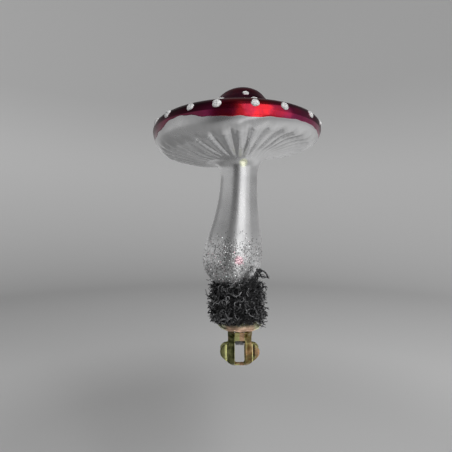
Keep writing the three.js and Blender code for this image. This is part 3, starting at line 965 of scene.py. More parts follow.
        # Painted shade in the valleys between the ribs, uneven round the cap, joined by the painted shade
        # below the red.
        uneven = 0.62 + 0.38 * np.sin(7.3 * fine + 1.1) * np.sin(3.1 * fine + 0.4)
        valley = 0.9 * uneven * between(radius, (13, 26), (31, 36))
        valley = valley * (1 - smooth(0.1, 0.62, drop / self.gill_depth))
        painted_pearl_shade = np.maximum(valley, self.painted_rim_shade(fine, height))
        covered = smooth(0.1, 0.35, height - self.equator + self.lacquer_edge(fine))
        under_points = self.set_down(radius - self.pearl_inset * covered, height - drop, fine)
        under = shape.add_rings(under_points, **self.marks(under_points, painted_pearl_shade))
        top_points = self.set_down(crown[:-1, :1], crown[:-1, 1:], coarse)
        pole = self.set_down(np.zeros(1), crown[-1:, 1], np.zeros(1))
        top = shape.add_rings(top_points, last=pole, **self.marks(top_points, 0))
        coarse_ring, fine_ring = np.arange(self.stem_sides), np.arange(self.cap_sides) + under
        low_ring = coarse_ring + (len(low) - 1) * self.stem_sides
        shape.faces.extend(self.band(low_ring, fine_ring, False))
        last_fine = fine_ring + (len(radius) - 1) * self.cap_sides
        shape.faces.extend(self.band(coarse_ring + top, last_fine, True))
        return shape

    def band(self, coarse: Array, fine: Array, coarse_above: bool) -> list:
        """Triangles between a ring of points and one with a whole number of times as many.

        Args:
            coarse: point numbers of the ring with fewer points.
            fine: point numbers of the ring with more, the first above or below the coarse first.
            coarse_above: True where the coarse ring is the upper one.
        Returns:
            The triangles in arrays.
        """
        times = len(fine) // len(coarse)
        after = np.roll(fine, -1)
        made = [(fine[step::times], after[step::times], coarse) for step in range(times)]
        made.append((np.roll(coarse, -1), coarse, np.roll(fine, -times)[::times]))
        return [stacked(*(corners if coarse_above else corners[::-1])) for corners in made]

    def lacquer_shape(self) -> Shape:
        """The red coat: from its wavy painted edge over the rim and up to the crown's pole.

        Its attribute thin is painted light: a painted highlight in a bell round the viewer's side, less a
        band of painted shade on the left and a weaker band on the right, and only near the rim.

        Returns:
            The shape, with the attribute thin.
        """
        angle = circle(self.lacquer_sides)
        rim = (self.pearl_line[:, 1] > self.equator - 3.4) & (self.pearl_line[:, 0] > 35)
        line = even_steps(np.vstack([self.pearl_line[rim], self.top_line[1:]]), 700)
        run, (_, out) = path_run(line), directions(line)
        rising = line[:, 1] < self.equator + 2
        start = np.interp(self.equator - self.lacquer_edge(angle), line[rising, 1], run[rising])
        share = np.linspace(0, 1, self.lacquer_rows)[:, None] ** 1.25
        place = start + (run[-1] - start) * share
        proud = self.lacquer_coat * smooth(0, 0.012, share)
        radius, height = (np.interp(place, run, line[:, k]) + np.interp(place, run, out[:, k]) * proud
                          for k in range(2))
        tuck = self.set_down(radius[:1] - self.tuck_in, height[:1] + self.tuck_up, angle)
        points = np.concatenate([tuck, self.set_down(radius[:-1], height[:-1], angle)])
        degrees = from_viewer(angle)
        # Painted highlight just right of the viewer's side, with painted shade on the left and a weaker band
        # on the right.
        left = 0.9 * between(-degrees, (10, 28), (90, 120))
        right = 0.25 * between(degrees, (20, 32), (60, 100))
        rim = smooth(34, 39, np.hypot(points[..., 0], points[..., 1]))
        shape = Shape()
        pole = self.set_down(np.zeros(1), height[-1, :1], np.zeros(1))
        shape.add_rings(points, last=pole, thin=(hump(degrees, 7, 17) - left - right) * rim)
        return shape

    def top_seat(self, share: float, angle: float) -> tuple:
        """A point on the red top and the way it faces.

        Args:
            share: how far along the cap's top section, 0 at the widest circle and 1 at the pole.
            angle: angle round the axis.
        Returns:
            The point and the unit direction.
        """
        at, steps = share * (len(self.top_line) - 1), np.arange(len(self.top_line))
        seat, slope = (np.array([np.interp(at, steps, line[:, k]) for k in range(2)])
                       for line in (self.top_line, np.gradient(self.top_line, axis=0)))
        out = unit(np.array([slope[1], -slope[0]]))
        point = self.set_down(seat[:1], seat[1:], np.array([angle]))[0]
        return point, polar(out[0], out[1], angle)

    def stem_seat(self, height: Array, angle: Array) -> tuple:
        """Points on the stem and bulb at heights and angles round the axis, and the ways they face.

        Args:
            height: heights before the lean.
            angle: angles round the axis.
        Returns:
            The points and the unit directions.
        """
        stem = spline(STEM, 400)
        radius = np.interp(height, stem[:, 1], stem[:, 0])
        slope = np.interp(height, stem[:, 1], np.gradient(stem[:, 0], stem[:, 1]))
        return self.set_down(radius, height, angle), unit(polar(1, -slope, angle))

    def build(self) -> None:
        """Makes the pearl body and the red coat."""
        pearl, red = PearlGlass(self.shop).material(), RedLacquer(self.shop).material()
        self.body_shape().make("pearl_glass_body", Body.ORNAMENT, Slot.PEARL, pearl, "glass_toadstool")
        self.lacquer_shape().make("red_lacquer_cap", Body.ORNAMENT, Slot.LACQUER, red, "glass_toadstool")


# Glitter

PINK_TINT = 0.97
DIM_SHARE = 0.36
DIM_TONE = 0.25


def flakes(shape: Shape, seats: Array, normals: Array, size: Array, lift: float, tilt: Array, draw: Draw,
           pink: Array) -> None:
    """Adds one six-sided foil flake at each seat.

    Each is a flat hexagon across the seat's normal, which is first tilted by a random share of
    the given tilt, and its middle is lifted off the surface.

    Args:
        shape: where the flakes go.
        seats: their places.
        normals: the surface's directions there.
        size: each flake's radius.
        lift: how far the middles stand off.
        tilt: the most that each one leans, as a slope.
        draw: the seeded generator.
        pink: each flake's chance of a pink tint.
    """
    count = len(seats)
    lean = unit(normals + draw.normal(size=(count, 3)) * np.asarray(tilt).reshape(-1, 1))
    side = unit(np.cross(lean, draw.normal(size=(count, 3))))
    across = np.cross(lean, side)
    turn = circle(6)[:, None]
    ring = side[:, None] * np.cos(turn) + across[:, None] * np.sin(turn)
    points = (seats + normals * lift)[:, None] + ring * np.asarray(size).reshape(-1, 1, 1)
    tint = np.where(draw.random(count) < pink, PINK_TINT, draw.random(count) * 0.95)
    tone = np.where(draw.random(count) < DIM_SHARE, DIM_TONE, 1.0) * draw.random(count) ** 0.35
    hexagons = np.arange(count)[:, None] * 6 + np.arange(6)
    shape.add(points, hexagons, tint=np.repeat(tint, 6), tone=np.repeat(tone, 6))


@dataclass
class CapDots:
    """The raised glue dots on the cap, ring by ring, each a crowned lump set with flakes."""

    shop: Workshop
    glass: GlassBody
    seed: int = 2588769
    height: float = 0.62
    sink: float = 0.25
    sides: int = 36
    rows: int = 11
    foils: int = 70
    foil_radius: float = 0.08
    foil_spread: float = 0.07
    foil_lift: float = 0.015
    foil_tilt: float = 0.3
    pink_share: float = 0.02

    # Share along the top section, count, first angle, spread of the draw, radius
    rings = ((0.098, 18, 8, 7, 1.76), (0.33, 13, -17, 2, 1.7), (0.47, 9, 20, 6, 1.75),
             (0.67, 4, 5, 2, 1.65), (0.78, 1, 150, 3, 1.6), (0.99, 1, 160, 0, 1.6))

    def seats(self) -> list:
        """Each dot's middle, direction and radius, from the same seeded draw as the solids'.

        Returns:
            A tuple of middle, direction and radius for each dot.
        """
        state = self.seed

        def draw() -> float:
            """The next share from 0 to 1 of a linear congruential generator."""
            nonlocal state
            state = (state * 1664525 + 1013904223) % 2**32
            return state / 2**32

        found = []
        for share, count, first, spread, radius in self.rings:
            for i in range(count):
                turn = first + 360 * i / count + spread * (2 * draw() - 1)
                seat = self.glass.top_seat(share, math.radians(turn - 90))
                found.append((*seat, radius * (0.88 + 0.24 * draw())))
        return found

    def crown(self, share: Array) -> Array:
        """A dot's height above the cap: the root-like fall of 1 minus the share to the power 2.6."""
        return self.height * (1 - share**2.6) ** 0.8

    def build(self) -> None:
        """Makes every lump in one piece and their flakes in another."""
        draw = np.random.default_rng(5)
        lumps, foil = Shape(), Shape()
        angle = circle(self.sides)
        cos, sin = np.cos(angle), np.sin(angle)
        share = np.linspace(1, 0, self.rows, endpoint=False)[:, None]
        for point, out, radius in self.seats():
            side = unit(np.cross(out, [0.3, 0.2, 1.0]))
            across = np.cross(out, side)
            phase = draw.random(3) * 6.28
            rough = 1 + 0.05 * np.sin(3 * angle + phase[0]) + 0.035 * np.sin(5 * angle + phase[1])
            pebble = 0.05 * np.sin(9 * share * cos + phase[2]) * np.sin(8 * share * sin) * (1 - share)
            rise = self.crown(share) - self.sink * (share > 0.995) + pebble
            reach = radius * share * rough
            body = point + reach[..., None] * (cos[:, None] * side + sin[:, None] * across)
            lumps.add_rings(body + rise[..., None] * out, last=point + out * self.height)
            spot = np.sqrt(draw.random((self.foils, 1))) * 0.97
            around = draw.random((self.foils, 1)) * 2 * math.pi
            lie = np.cos(around) * side + np.sin(around) * across
            seat = point + radius * spot * lie + self.crown(spot) * out
            normal = unit(out + lie * spot**1.6 * 0.9)
            size = self.foil_radius + self.foil_spread * draw.random(self.foils)
            flakes(foil, seat, normal, size, self.foil_lift, self.foil_tilt, draw, self.pink_share)
        paste = GlitterPaste(self.shop).material()
        lumps.make("cap_dots", Body.ORNAMENT, Slot.DOTS, paste, "glass_toadstool")
        bright = GlitterFlake(self.shop, "white foil glitter", 0.7, 0.5).material()
        foil.make("cap_dot_flakes", Body.ORNAMENT, Slot.DOTS, bright, creased=True)


@dataclass
class BulbGlitter:
    """Fine foil dusted over the foot of the stem, thinning upwards."""

    shop: Workshop
    glass: GlassBody
    low: float = 33.0
    dense: float = 53.0
    high: float = 62.5
    count: int = 20000
    stray: float = 0.05
    pink_share: float = 0.02
    foil_radius: float = 0.15
    foil_spread: float = 0.15
    foil_lift: float = 0.07
    loose_share: float = 0.6
    loose_tilt: float = 0.6
    flat_tilt: float = 0.14

    def build(self) -> None:
        """Places flakes at random heights and keeps each by the dusting's chance there.

        The chance is greatest a little left of the viewer's side and falls off upwards, with a
        few stray flakes above.
        """
        draw = np.random.default_rng(11)
        height = self.low + (self.high - self.low) * draw.random(self.count)
        angle = draw.random(self.count) * 2 * math.pi
        wave = 2.2 * np.sin(2 * angle + 0.4) + 1.3 * np.sin(5 * angle)
        thin = 1 - smooth(self.dense - 1, self.high - 1 + wave, height)
        facing = 0.14 + 0.86 * hump(from_viewer(angle), -6, 46)
        chance = facing * (self.stray * (height < self.high - 1) + (1 - self.stray) * thin**1.2)
        keep = draw.random(self.count) < chance
        seats, normals = self.glass.stem_seat(height[keep], angle[keep])
        # Flakes round the painted pink reflection are tinted pink with it.
        pink = self.pink_share + 0.9 * near(seats, PINK_PAINTED_REFLECTION, 1.2, 2.6)
        size = self.foil_radius + self.foil_spread * draw.random(len(seats)) ** 1.5
        tilt = np.where(draw.random(len(seats)) < self.loose_share, self.loose_tilt, self.flat_tilt)
        foil = Shape()
        flakes(foil, seats, normals, size, self.foil_lift, tilt, draw, pink)
        silver = GlitterFlake(self.shop).material()
        foil.make("bulb_glitter_flakes", Body.ORNAMENT, Slot.GLITTER, silver, creased=True)


# Moss

# Key points of the stray tuft's strands, which climb the bulb at the right and end in a loop
WISP = (
    [(2.6, -11.0, 34.5), (5.0, -11.7, 38.5), (7.2, -11.5, 42.0), (8.4, -11.0, 43.3)],
    [(3.5, -10.8, 34.0), (6.0, -11.5, 37.6), (8.2, -11.0, 40.9), (9.7, -10.2, 42.3)],
    [(4.0, -10.4, 33.5), (6.6, -11.0, 36.8), (8.0, -11.0, 39.8), (7.2, -11.5, 42.0)],
    [(7.6, -11.0, 42.9), (9.6, -10.0, 42.6), (11.9, -9.0, 41.4), (12.9, -8.4, 39.1)],
    [(7.6, -10.6, 39.6), (9.6, -9.8, 39.9), (11.2, -9.0, 39.5), (13.1, -8.2, 38.9)],
    [(8.0, -10.8, 42.6), (8.9, -10.2, 41.2), (9.6, -9.8, 40.2), (10.8, -9.2, 39.7)],
    [(1.0, -11.2, 34.4), (3.8, -12.0, 37.0), (6.2, -11.9, 39.0), (8.0, -11.1, 40.6)],
    [(0.0, -11.4, 34.4), (2.6, -12.4, 36.6), (4.6, -12.4, 38.4), (6.8, -11.8, 39.0)],
    [(3.0, -10.8, 35.4), (5.8, -11.6, 38.0), (7.0, -11.6, 40.6), (8.9, -10.8, 42.9)],
    [(6.0, -10.4, 33.0), (8.4, -9.8, 36.0), (10.2, -9.0, 36.6), (11.0, -8.6, 35.0)],
    [(6.6, -10.2, 32.0), (9.2, -9.4, 34.0), (11.6, -8.6, 34.6), (12.4, -8.2, 33.0)],
)
WISP_TONE = 0.25


@dataclass(frozen=True)
class Strands:
    """One kind of moss strand: how many, their lengths, side bends and roots, and their barbs.

    The reach and the curl are given as least and most. Winding is the radius of the circle that
    a tip winds in.
    """

    count: int
    reach: tuple
    curl: tuple
    thick: float
    seed: int
    barbs: int
    winding: float


@dataclass
class MossCollar:
    """Dried moss round the neck: a dark core, barbed sprigs all over it, curls and a side wisp."""

    shop: Workshop
    radius: float = 12.2
    centre_x: float = -1.3
    top: float = 37.0
    bottom: float = 15.8
    flatness: float = 0.5
    droop: float = 2.8
    stations: int = 10
    core_inset: float = 1.2
    root_inset: float = 2.4
    barb_share: float = 0.62
    rest_height: float = 17.0

    def core_point(self, level: Array, angle: Array, inset: float) -> Array:
        """Points on the rounded-drum core: level from -1 at its foot to 1 at its top.

        Args:
            level: share of the half height.
            angle: angle round the core.
            inset: how far inside the moss's skin.
        Returns:
            The points.
        """
        middle, half = (self.top + self.bottom) / 2, (self.top - self.bottom) / 2
        reach = (self.radius - inset) * (1 - level**2) ** (self.flatness / 2)
        z = middle + (half - inset * 0.7) * np.sign(level) * np.abs(level) ** 0.65
        return polar(reach, z, angle) + (self.centre_x, 0, 0)

    def core_shape(self) -> Shape:
        """A closed, lumpy core whose lumps are three crossing sines.

        Returns:
            The closed shape.
        """
        level = np.sin(np.linspace(-0.492 * math.pi, 0.492 * math.pi, 60))[:, None]
        angle = circle(120)
        lump = 0.5 * np.sin(7 * angle + 9 * level) + 0.4 * np.sin(13 * angle - 14 * level)
        lump = lump + 0.3 * np.sin(31 * level + 5 * angle)
        points = self.core_point(level, angle, self.core_inset)
        points = points + unit(points - (self.centre_x, 0, (self.top + self.bottom) / 2)) * lump[..., None]
        shape = Shape()
        shape.add_rings(points, points[0].mean(0), points[-1].mean(0), tone=0)
        return shape

    def strands(self, shape: Shape, kind: Strands) -> None:
        """Adds sprigs that start inside the core and curl as they leave it.

        A sprig runs out from its root by its reach, bends sideways by its curl times the square
        of the share run, and winds in a small circle that widens towards its tip. Barbs are short
        tapered tubes off it, leaning towards the tip.

        Args:
            shape: where the sprigs go.
            kind: how many, how long and how curled.
        """
        draw = np.random.default_rng(kind.seed)
        count = kind.count
        level = -0.97 + 1.94 * (np.arange(count) + 0.5) / count
        angle = np.arange(count) * GOLDEN_ANGLE + kind.seed
        root = self.core_point(level, angle, self.root_inset)
        ring = (1 - level**2) ** (self.flatness / 2)
        out = unit(unit(polar(ring, level * 0.8, angle) + 0.35 * draw.normal(size=(count, 3))))
        side = unit(np.cross(draw.normal(size=(count, 3)), out))
        length = kind.reach[0] + (kind.reach[1] - kind.reach[0]) * draw.random((count, 1))
        bend = kind.curl[0] + (kind.curl[1] - kind.curl[0]) * draw.random((count, 1))
        share = np.linspace(0, 1, self.stations)
        wind = 2 * math.pi * (0.6 + 1.2 * draw.random((count, 1))) * share + 6.28 * draw.random((count, 1))
        wide = kind.winding * share * (0.5 + draw.random((count, 1)))
        path = root[:, None] + sum(way[:, None] * size[..., None] for way, size in (
            (out, length * share * (1 - 0.15 * share)), (side, bend * share**2 + wide * np.cos(wind)),
            (np.cross(out, side), wide * np.sin(wind))))
        path = self.clear_of_tray(path + self.settle(level, np.cos(angle), share))
        stout = np.where(draw.random((count, 1)) < 0.3, 1.35, 0.9)
        self.fibres(shape, path, kind.thick * stout * (1 - 0.7 * share), 3, side, draw)
        for barb in range(kind.barbs):
            at = 0.3 + 0.62 * (barb + draw.random(count)) / kind.barbs
            station = at * (self.stations - 1)
            low = station.astype(int)
            start, after = (path[np.arange(count), low + k] for k in range(2))
            forward = unit(after - start)
            start = start + (after - start) * (station - low)[:, None]
            away = unit(np.cross(forward, draw.normal(size=(count, 3))))
            size = (0.9 + 0.9 * draw.random((count, 1))) * (1.15 - 0.5 * at[:, None])
            run = np.linspace(0, 1, 4)
            spur = self.spurs(start, forward, away, size, 0.75 * run, run**0.8)
            thin = kind.thick * self.barb_share * (1 - 0.8 * run)
            self.fibres(shape, self.clear_of_tray(spur), thin, 3, forward, draw)

    def settle(self, level: Array, cos: Array, share: Array) -> Array:
        """How far strands sink, and lean along X, by their root's level and side and the share run.

        Args:
            level: each root's level.
            cos: the cosine of its angle.
            share: the share run, one a station.
        Returns:
            The shift at each station.
        """
        low_side = smooth(0.2, 0.9, -level) * (cos**2 - 0.4)
        high_left = smooth(0.3, 0.8, level) * np.maximum(-cos, 0) ** 2
        low_right = smooth(0.0, 0.6, -level) * np.maximum(cos, 0) ** 2
        fall = (3.4 * high_left - self.droop * low_side)[:, None] * share - 0.4 * share**2
        return stacked((1.8 * low_right - 0.8 * high_left)[:, None] * share, 0, fall)

    def clear_of_tray(self, path: Array) -> Array:
        """Paths that hang below the tray's brim only outside it.

        Args:
            path: stations of every path.
        Returns:
            The paths, raised where they hang too low.
        """
        x = path[..., 0]
        outside = smooth(9.8, 12.3, np.abs(x - self.centre_x))
        floor = self.rest_height + 1.2 * hump(x, 7.4, 1.7) - 4.4 * outside
        low = np.maximum(floor - path[..., 2], 0)
        return path + stacked(0, 0, 0.85 * low)

    def spurs(self, start: Array, forward: Array, away: Array, size: Array, along: Array,
              out: Array) -> Array:
        """Short paths that leave others.

        Args:
            start: where each leaves.
            forward: the direction of the strand there.
            away: the direction off it.
            size: each one's length.
            along: shares of the size gone forward, one a station.
            out: shares of the size gone away, one a station.
        Returns:
            The stations of every spur.
        """
        way = forward[:, None] * along[:, None] + away[:, None] * out[:, None]
        return start[:, None] + way * size[:, None]

    def fibres(self, shape: Shape, path: Array, radius: Array, sides: int, side: Array, draw: Draw,
               most: float = 1.0) -> None:
        """Adds closed tapered tubes, each with its own tone up to the most, lighter at the tip.

        Args:
            shape: where the tubes go.
            path: stations of every path.
            radius: the tubes' radius, spread over the stations.
            sides: points a ring.
            side: a direction off each path.
            draw: the seeded generator.
            most: the lightest tone.
        """
        count, stations = path.shape[:2]
        tone = most * draw.random((count, 1)) ** 3.6 * (0.3 + 0.7 * np.linspace(0, 1, stations))
        shape.add_tubes(path, radius, sides, side, tone=np.repeat(tone, sides))

    def wisp(self, shape: Shape) -> None:
        """The stray tuft at the right, each strand twice, and short leaflets along it.

        Args:
            shape: where the strands go.
        """
        draw = np.random.default_rng(31)
        taper = 0.34 - 0.16 * np.linspace(0, 1, 16)
        side = np.array([[0.2, 0.9, 0.1]])
        for route in WISP:
            for copy in range(2):
                nudge = draw.normal(size=(len(route), 3)) * 0.45 * copy
                path = spline(np.array(route) + nudge, 16)[None]
                self.fibres(shape, path, taper * (1 - 0.15 * copy), 5, side, draw, WISP_TONE)
        run = np.linspace(0, 1, 4)
        for route in WISP:
            path = spline(route, 12)
            forward = unit(np.gradient(path, axis=0))
            away = unit(np.cross(forward, draw.normal(size=forward.shape)))
            size = 0.6 + 0.9 * draw.random((len(path), 1))
            spur = self.spurs(path, forward, away, size, 0.7 * run, run)
            self.fibres(shape, spur, 0.2 * (1 - 0.8 * run), 3, forward, draw, WISP_TONE)

    def build(self) -> None:
        """Makes the core, the barbed sprigs, and the loose curls with the wisp."""
        core, barbed, curls = self.core_shape(), Shape(), Shape()
        self.strands(barbed, Strands(count=400, reach=(4.2, 6.4), curl=(1.0, 3.8), thick=0.55, seed=3,
                                     barbs=3, winding=0.6))
        self.strands(curls, Strands(count=520, reach=(3.8, 6.6), curl=(1.0, 4.0), thick=0.5, seed=9,
                                    barbs=1, winding=1.3))
        self.wisp(curls)
        fibre = MossFibre(self.shop).material()
        for name, shape in (("moss_core", core), ("moss_sprigs", barbed), ("moss_curls", curls)):
            shape.make(name, Body.ORNAMENT, Slot.MOSS, fibre, "moss_collar")


# The brass clip

# Half width and height down one side of a jaw, and its side line as distance out and height
JAW_OUTLINE = ((6.0, 12.6), (5.9, 9.0), (5.8, 6.6), (6.2, 5.5), (8.2, 5.0), (9.5, 3.5), (9.7, 1.6),
               (9.0, -0.8), (7.2, -3.0), (4.8, -4.8), (2.6, -5.9))
JAW_SIDE_LINE = ((6.6, 12.0), (5.2, 10.8), (3.4, 8.8), (2.65, 6.6), (2.85, 5.0), (4.0, 2.5), (4.3, -0.5),
                 (3.3, -3.5), (1.5, -5.1), (0.5, -5.7))
JAW_TOP, JAW_FOOT = 12.0, -5.7


def turned_shape(line: Array, sides: int) -> Shape:
    """A profile of radius and height, from pole to pole with its outside to the right, turned about Z.

    Args:
        line: the profile, its first and last points on the axis.
        sides: points round each ring.
    Returns:
        The closed shape.
    """
    shape = Shape()
    points = polar(line[1:-1, :1], line[1:-1, 1:], circle(sides))
    shape.add_rings(points, np.array([0, 0, line[0, 1]]), np.array([0, 0, line[-1, 1]]))
    return shape


def thickened(line: Array, half: float) -> Array:
    """A closed section round an open line: along its right, round its end, back along its left.

    Args:
        line: the open line.
        half: half the section's thickness.
    Returns:
        The section's points in order.
    """
    along, right = directions(line)
    turn = np.linspace(0, math.pi, 7)[1:-1, None]
    tip = line[-1] + half * (right[-1] * np.cos(turn) + along[-1] * np.sin(turn))
    root = line[0] + half * (-right[0] * np.cos(turn) - along[0] * np.sin(turn))
    return np.vstack([line + right * half, tip, (line - right * half)[::-1], root])


def eased_loop(loop: Array, samples: int, width: float) -> Array:
    """A closed outline at even steps with its corners eased.

    Each point is the average of its neighbours within the width, which leaves straight runs as
    they are and rounds the corners.

    Args:
        loop: the outline's corners.
        samples: how many points to make.
        width: how far along the outline the average reaches.
    Returns:
        The eased outline.
    """
    ring = even_steps(np.vstack([loop, loop[:1]]), samples + 1)[:-1]
    pitch = np.linalg.norm(ring[1] - ring[0])
    reach = max(1, int(round(width / pitch / 2)))
    return sum(np.roll(ring, shift, axis=0) for shift in range(-reach, reach + 1)) / (2 * reach + 1)


def sheet_rings(inner: Array, outer: Array, half: float, place: Callable, rows: int) -> tuple:
    """A sheet between a hole and an outline, with thickness and rounded edges, closed all round.

    Points run straight from each inner outline point to the outer one beside it. Their section
    goes out along one face, round the outer edge in a half circle, back along the other face and
    round the hole's edge.

    Args:
        inner: the hole's outline in the sheet's own two coordinates.
        outer: the outer outline, point for point beside the inner one.
        half: half the sheet's thickness.
        place: takes the two coordinates and a lift off the middle of the sheet to a place.
        rows: steps across each face.
    Returns:
        The points and their faces.
    """
    way = unit(outer - inner)
    low, high = inner + way * half, outer - way * half
    flat = low + (high - low) * np.linspace(0, 1, rows)[:, None, None]
    turn = np.linspace(-math.pi / 2, math.pi / 2, 7)[1:-1]
    bulge = way * half * np.cos(turn)[:, None, None]
    level, edge = np.full(rows, half), half * np.sin(turn)
    lift = np.concatenate([-level, edge, level, -edge])[:, None]
    section = np.concatenate([flat, high + bulge, flat[::-1], low - bulge])
    faces = grid_faces(len(section), len(inner), wrap_rows=True)
    return place(section[..., 0], section[..., 1], lift), faces


@dataclass
class TwigClip:
    """Tray and socket, rivet, the two stamped jaws, their pin and the torsion spring."""

    shop: Workshop
    pivot: float = 5.6
    sheet: float = 0.6
    tray_radius: float = 10.2
    brim: float = 13.2
    floor: float = 15.4
    socket: float = 5.0
    socket_top: float = 21.5
    window_half: float = 2.5
    window_low: float = -5.1
    window_high: float = 6.9
    flank_roll: float = 1.2
    tab_gap: float = 0.3
    wire: float = 0.27
    coil: float = 1.35
    coil_half: float = 1.9

    def jaw_place(self, side: int) -> Callable:
        """The bend of a jaw: takes width, level and lift to a place.

        A point goes to its level on the side line and moves in from it, square to the line, by
        the flanks' roll and the lift. The flanks roll in, the lobes run on flat from them, and a
        crease runs down between flank and lobe.

        Args:
            side: -1 for the jaw towards the viewer, 1 for the one behind.
        Returns:
            A function from width, level and lift to places.
        """
        line = spline(JAW_SIDE_LINE, 200)[::-1]
        slope = unit(np.gradient(line, axis=0))

        def place(x: Array, level: Array, lift: Array) -> Array:
            """The place on this jaw of a width, a level and a lift.

            Args:
                x: how far across the jaw.
                level: the height on the side line.
                lift: how far off the middle of the sheet.
            Returns:
                The places.
            """
            out, out_slope, up_slope = (np.interp(level, line[:, 1], values)
                                        for values in (line[:, 0], slope[:, 0], slope[:, 1]))
            across = np.abs(x)
            roll = self.flank_roll * smooth(2.7, 6.0, across) * smooth(-6.2, -2.0, level)
            crease = 0.22 * hump(across, 6.35, 0.5) * between(level, (-5.4, -3.0), (4.0, 6.0))
            shift = roll + crease + lift
            return stacked(x, side * (out - shift * up_slope), level + shift * out_slope)

        return place

    def jaw_loops(self, slotted: bool) -> tuple:
        """The window's outline and the jaw's outer outline, point for point beside each other.

        Both run along the top, down the right side, back along the foot and up the left side.

        Args:
            slotted: True for the rear jaw, whose lever has its middle cut away.
        Returns:
            The two outlines.
        """
        side = spline(JAW_OUTLINE, 160)
        side = side[(side[:, 1] <= JAW_TOP) & (side[:, 1] >= JAW_FOOT)]
        half, low, high = self.window_half, self.window_low, self.window_high
        turn = quarter(9)
        foot_round, head_round = 0.9, 0.3
        foot_end, head_end = half - foot_round, half - head_round
        corner = (foot_end, low + foot_round) + foot_round * np.hstack([np.cos(turn), -np.sin(turn)])
        head = np.hstack([np.cos(turn), np.sin(turn)])[::-1]
        head = (head_end, high - head_round) + head_round * head
        edge_steps, side_steps = (14, 166) if slotted else (36, 144)
        pace = np.linspace(0, 1, side_steps)
        top = (side[0, 0], JAW_TOP)
        if slotted:
            pace = np.interp(pace, [0, 0.5, 1], [0, 0.06, 1])
            top = (half + 0.15, high + 0.75)
            side = np.vstack([top, (top[0], JAW_TOP), side])

        def loop(top: tuple, right: Array, foot: tuple) -> Array:
            """Joins a side and its mirror image by a level top and foot, given by their right ends.

            Args:
                top: the top's right end.
                right: the right side.
                foot: the foot's right end.
            Returns:
                The outline.
            """
            across = np.linspace(-1, 1, edge_steps, endpoint=False)
            return np.vstack([stacked(across * top[0], top[1]), right[:-1],
                              stacked(-across * foot[0], foot[1]), (right * (-1, 1))[::-1][:-1]])

        inner = loop((head_end, high), at_shares(np.vstack([head, corner]), pace), (foot_end, low))
        outer = loop(top, even_steps(side, side_steps), (side[-1, 0], JAW_FOOT))
        for _ in range(6):
            outer = (np.roll(outer, 1, 0) + 2 * outer + np.roll(outer, -1, 0)) / 4
        return inner[::-1], outer[::-1]

    def jaw_shape(self, side: int, slotted: bool, cheek: float) -> Shape:
        """A jaw's stamped sheet with its window and its hinge plates, both marked with painted shade.

        Args:
            side: -1 for the jaw towards the viewer, 1 for the one behind.
            slotted: True for a lever whose middle is cut away.
            cheek: how far out the hinge plates' inner faces are.
        Returns:
            The shape, with the brass's attributes.
        """
        inner, outer = self.jaw_loops(slotted)
        if side > 0:
            inner, outer = inner[::-1], outer[::-1]
        points, faces = sheet_rings(inner, outer, self.sheet / 2, self.jaw_place(side), 20)
        x, across = points[..., 0], np.abs(points[..., 0])
        # Painted shade on the rolled flanks and, weaker, on the lobes beyond the creases.
        fold = np.maximum(between(across, (2.45, 2.75), (5.95, 6.15)), 0.55 * smooth(6.5, 6.8, across))
        blush = 0.8 * smooth(-0.5, 0.2, x) * (1 - smooth(2.0, 2.5, across))
        shape = Shape()
        shape.add(points, faces, fold=fold, blush=blush)
        self.add_cheeks(shape, cheek, side)
        return shape

    def add_cheeks(self, shape: Shape, inner: float, side: int) -> None:
        """Adds the two hinge plates of a jaw, each with its pin hole.

        Args:
            shape: where the plates go.
            inner: how far out their inner faces are.
            side: -1 for the jaw towards the viewer, 1 for the one behind.
        """
        radius, hole, reach = 1.5, 1.0, 2.5
        turn = np.linspace(-math.pi / 2, math.pi / 2, 25)[:, None]
        nose = radius * np.hstack([np.cos(turn), np.sin(turn)])
        outer = eased_loop(np.vstack([nose, [[-reach, radius], [-reach, -radius]]]), 72, 0.3)
        angle = np.arctan2(outer[:, 1], outer[:, 0])
        hole_loop = hole * stacked(np.cos(angle), np.sin(angle))
        level, faces = sheet_rings(hole_loop, outer, self.sheet / 2, stacked, 4)
        for middle in (-inner - self.sheet / 2, inner + self.sheet / 2):
            points = stacked(middle + side * level[..., 2], side * -level[..., 0], self.pivot + level[..., 1])
            # The hinge plates carry painted shade.
            shape.add(points, faces, fold=0.6, blush=0)

    def tongue_shape(self) -> Shape:
        """The rear jaw's tongue: a rounded strip up from the window's head and in under the tray.

        Returns:
            The closed shape.
        """
        back, bend, tab = 2.35, 1.1, self.floor - self.tab_gap - self.sheet / 2
        arc = (back - bend, tab - bend) + bend * np.hstack([np.cos(quarter(12)), np.sin(quarter(12))])
        rise = [(2.62, self.window_high - 0.2), (2.5, 8.0), (back, 9.4), (back, 11.0)]
        line = even_steps(np.vstack([spline(rise, 20), arc, [[-2.0, tab]]]), 60)
        right = directions(line)[1]
        half_wide, half = 2.2, self.sheet / 2
        corner = half * 0.9
        turn = circle(32)
        wide = np.sign(np.cos(turn)) * (half_wide - corner) + corner * np.cos(turn)
        thick = half * np.clip(np.sin(turn) * 1.6, -1, 1)
        ends = np.ones((len(line), 1))
        ends[:2, 0], ends[-3:, 0] = (0.5, 0.85), (0.96, 0.85, 0.55)
        shift = right[:, :, None] * thick
        points = stacked(wide * ends, line[:, :1] + shift[:, 0], line[:, 1:] + shift[:, 1])
        shape = Shape()
        shape.add_rings(points[::-1], points[-1].mean(0), points[0].mean(0))
        return shape

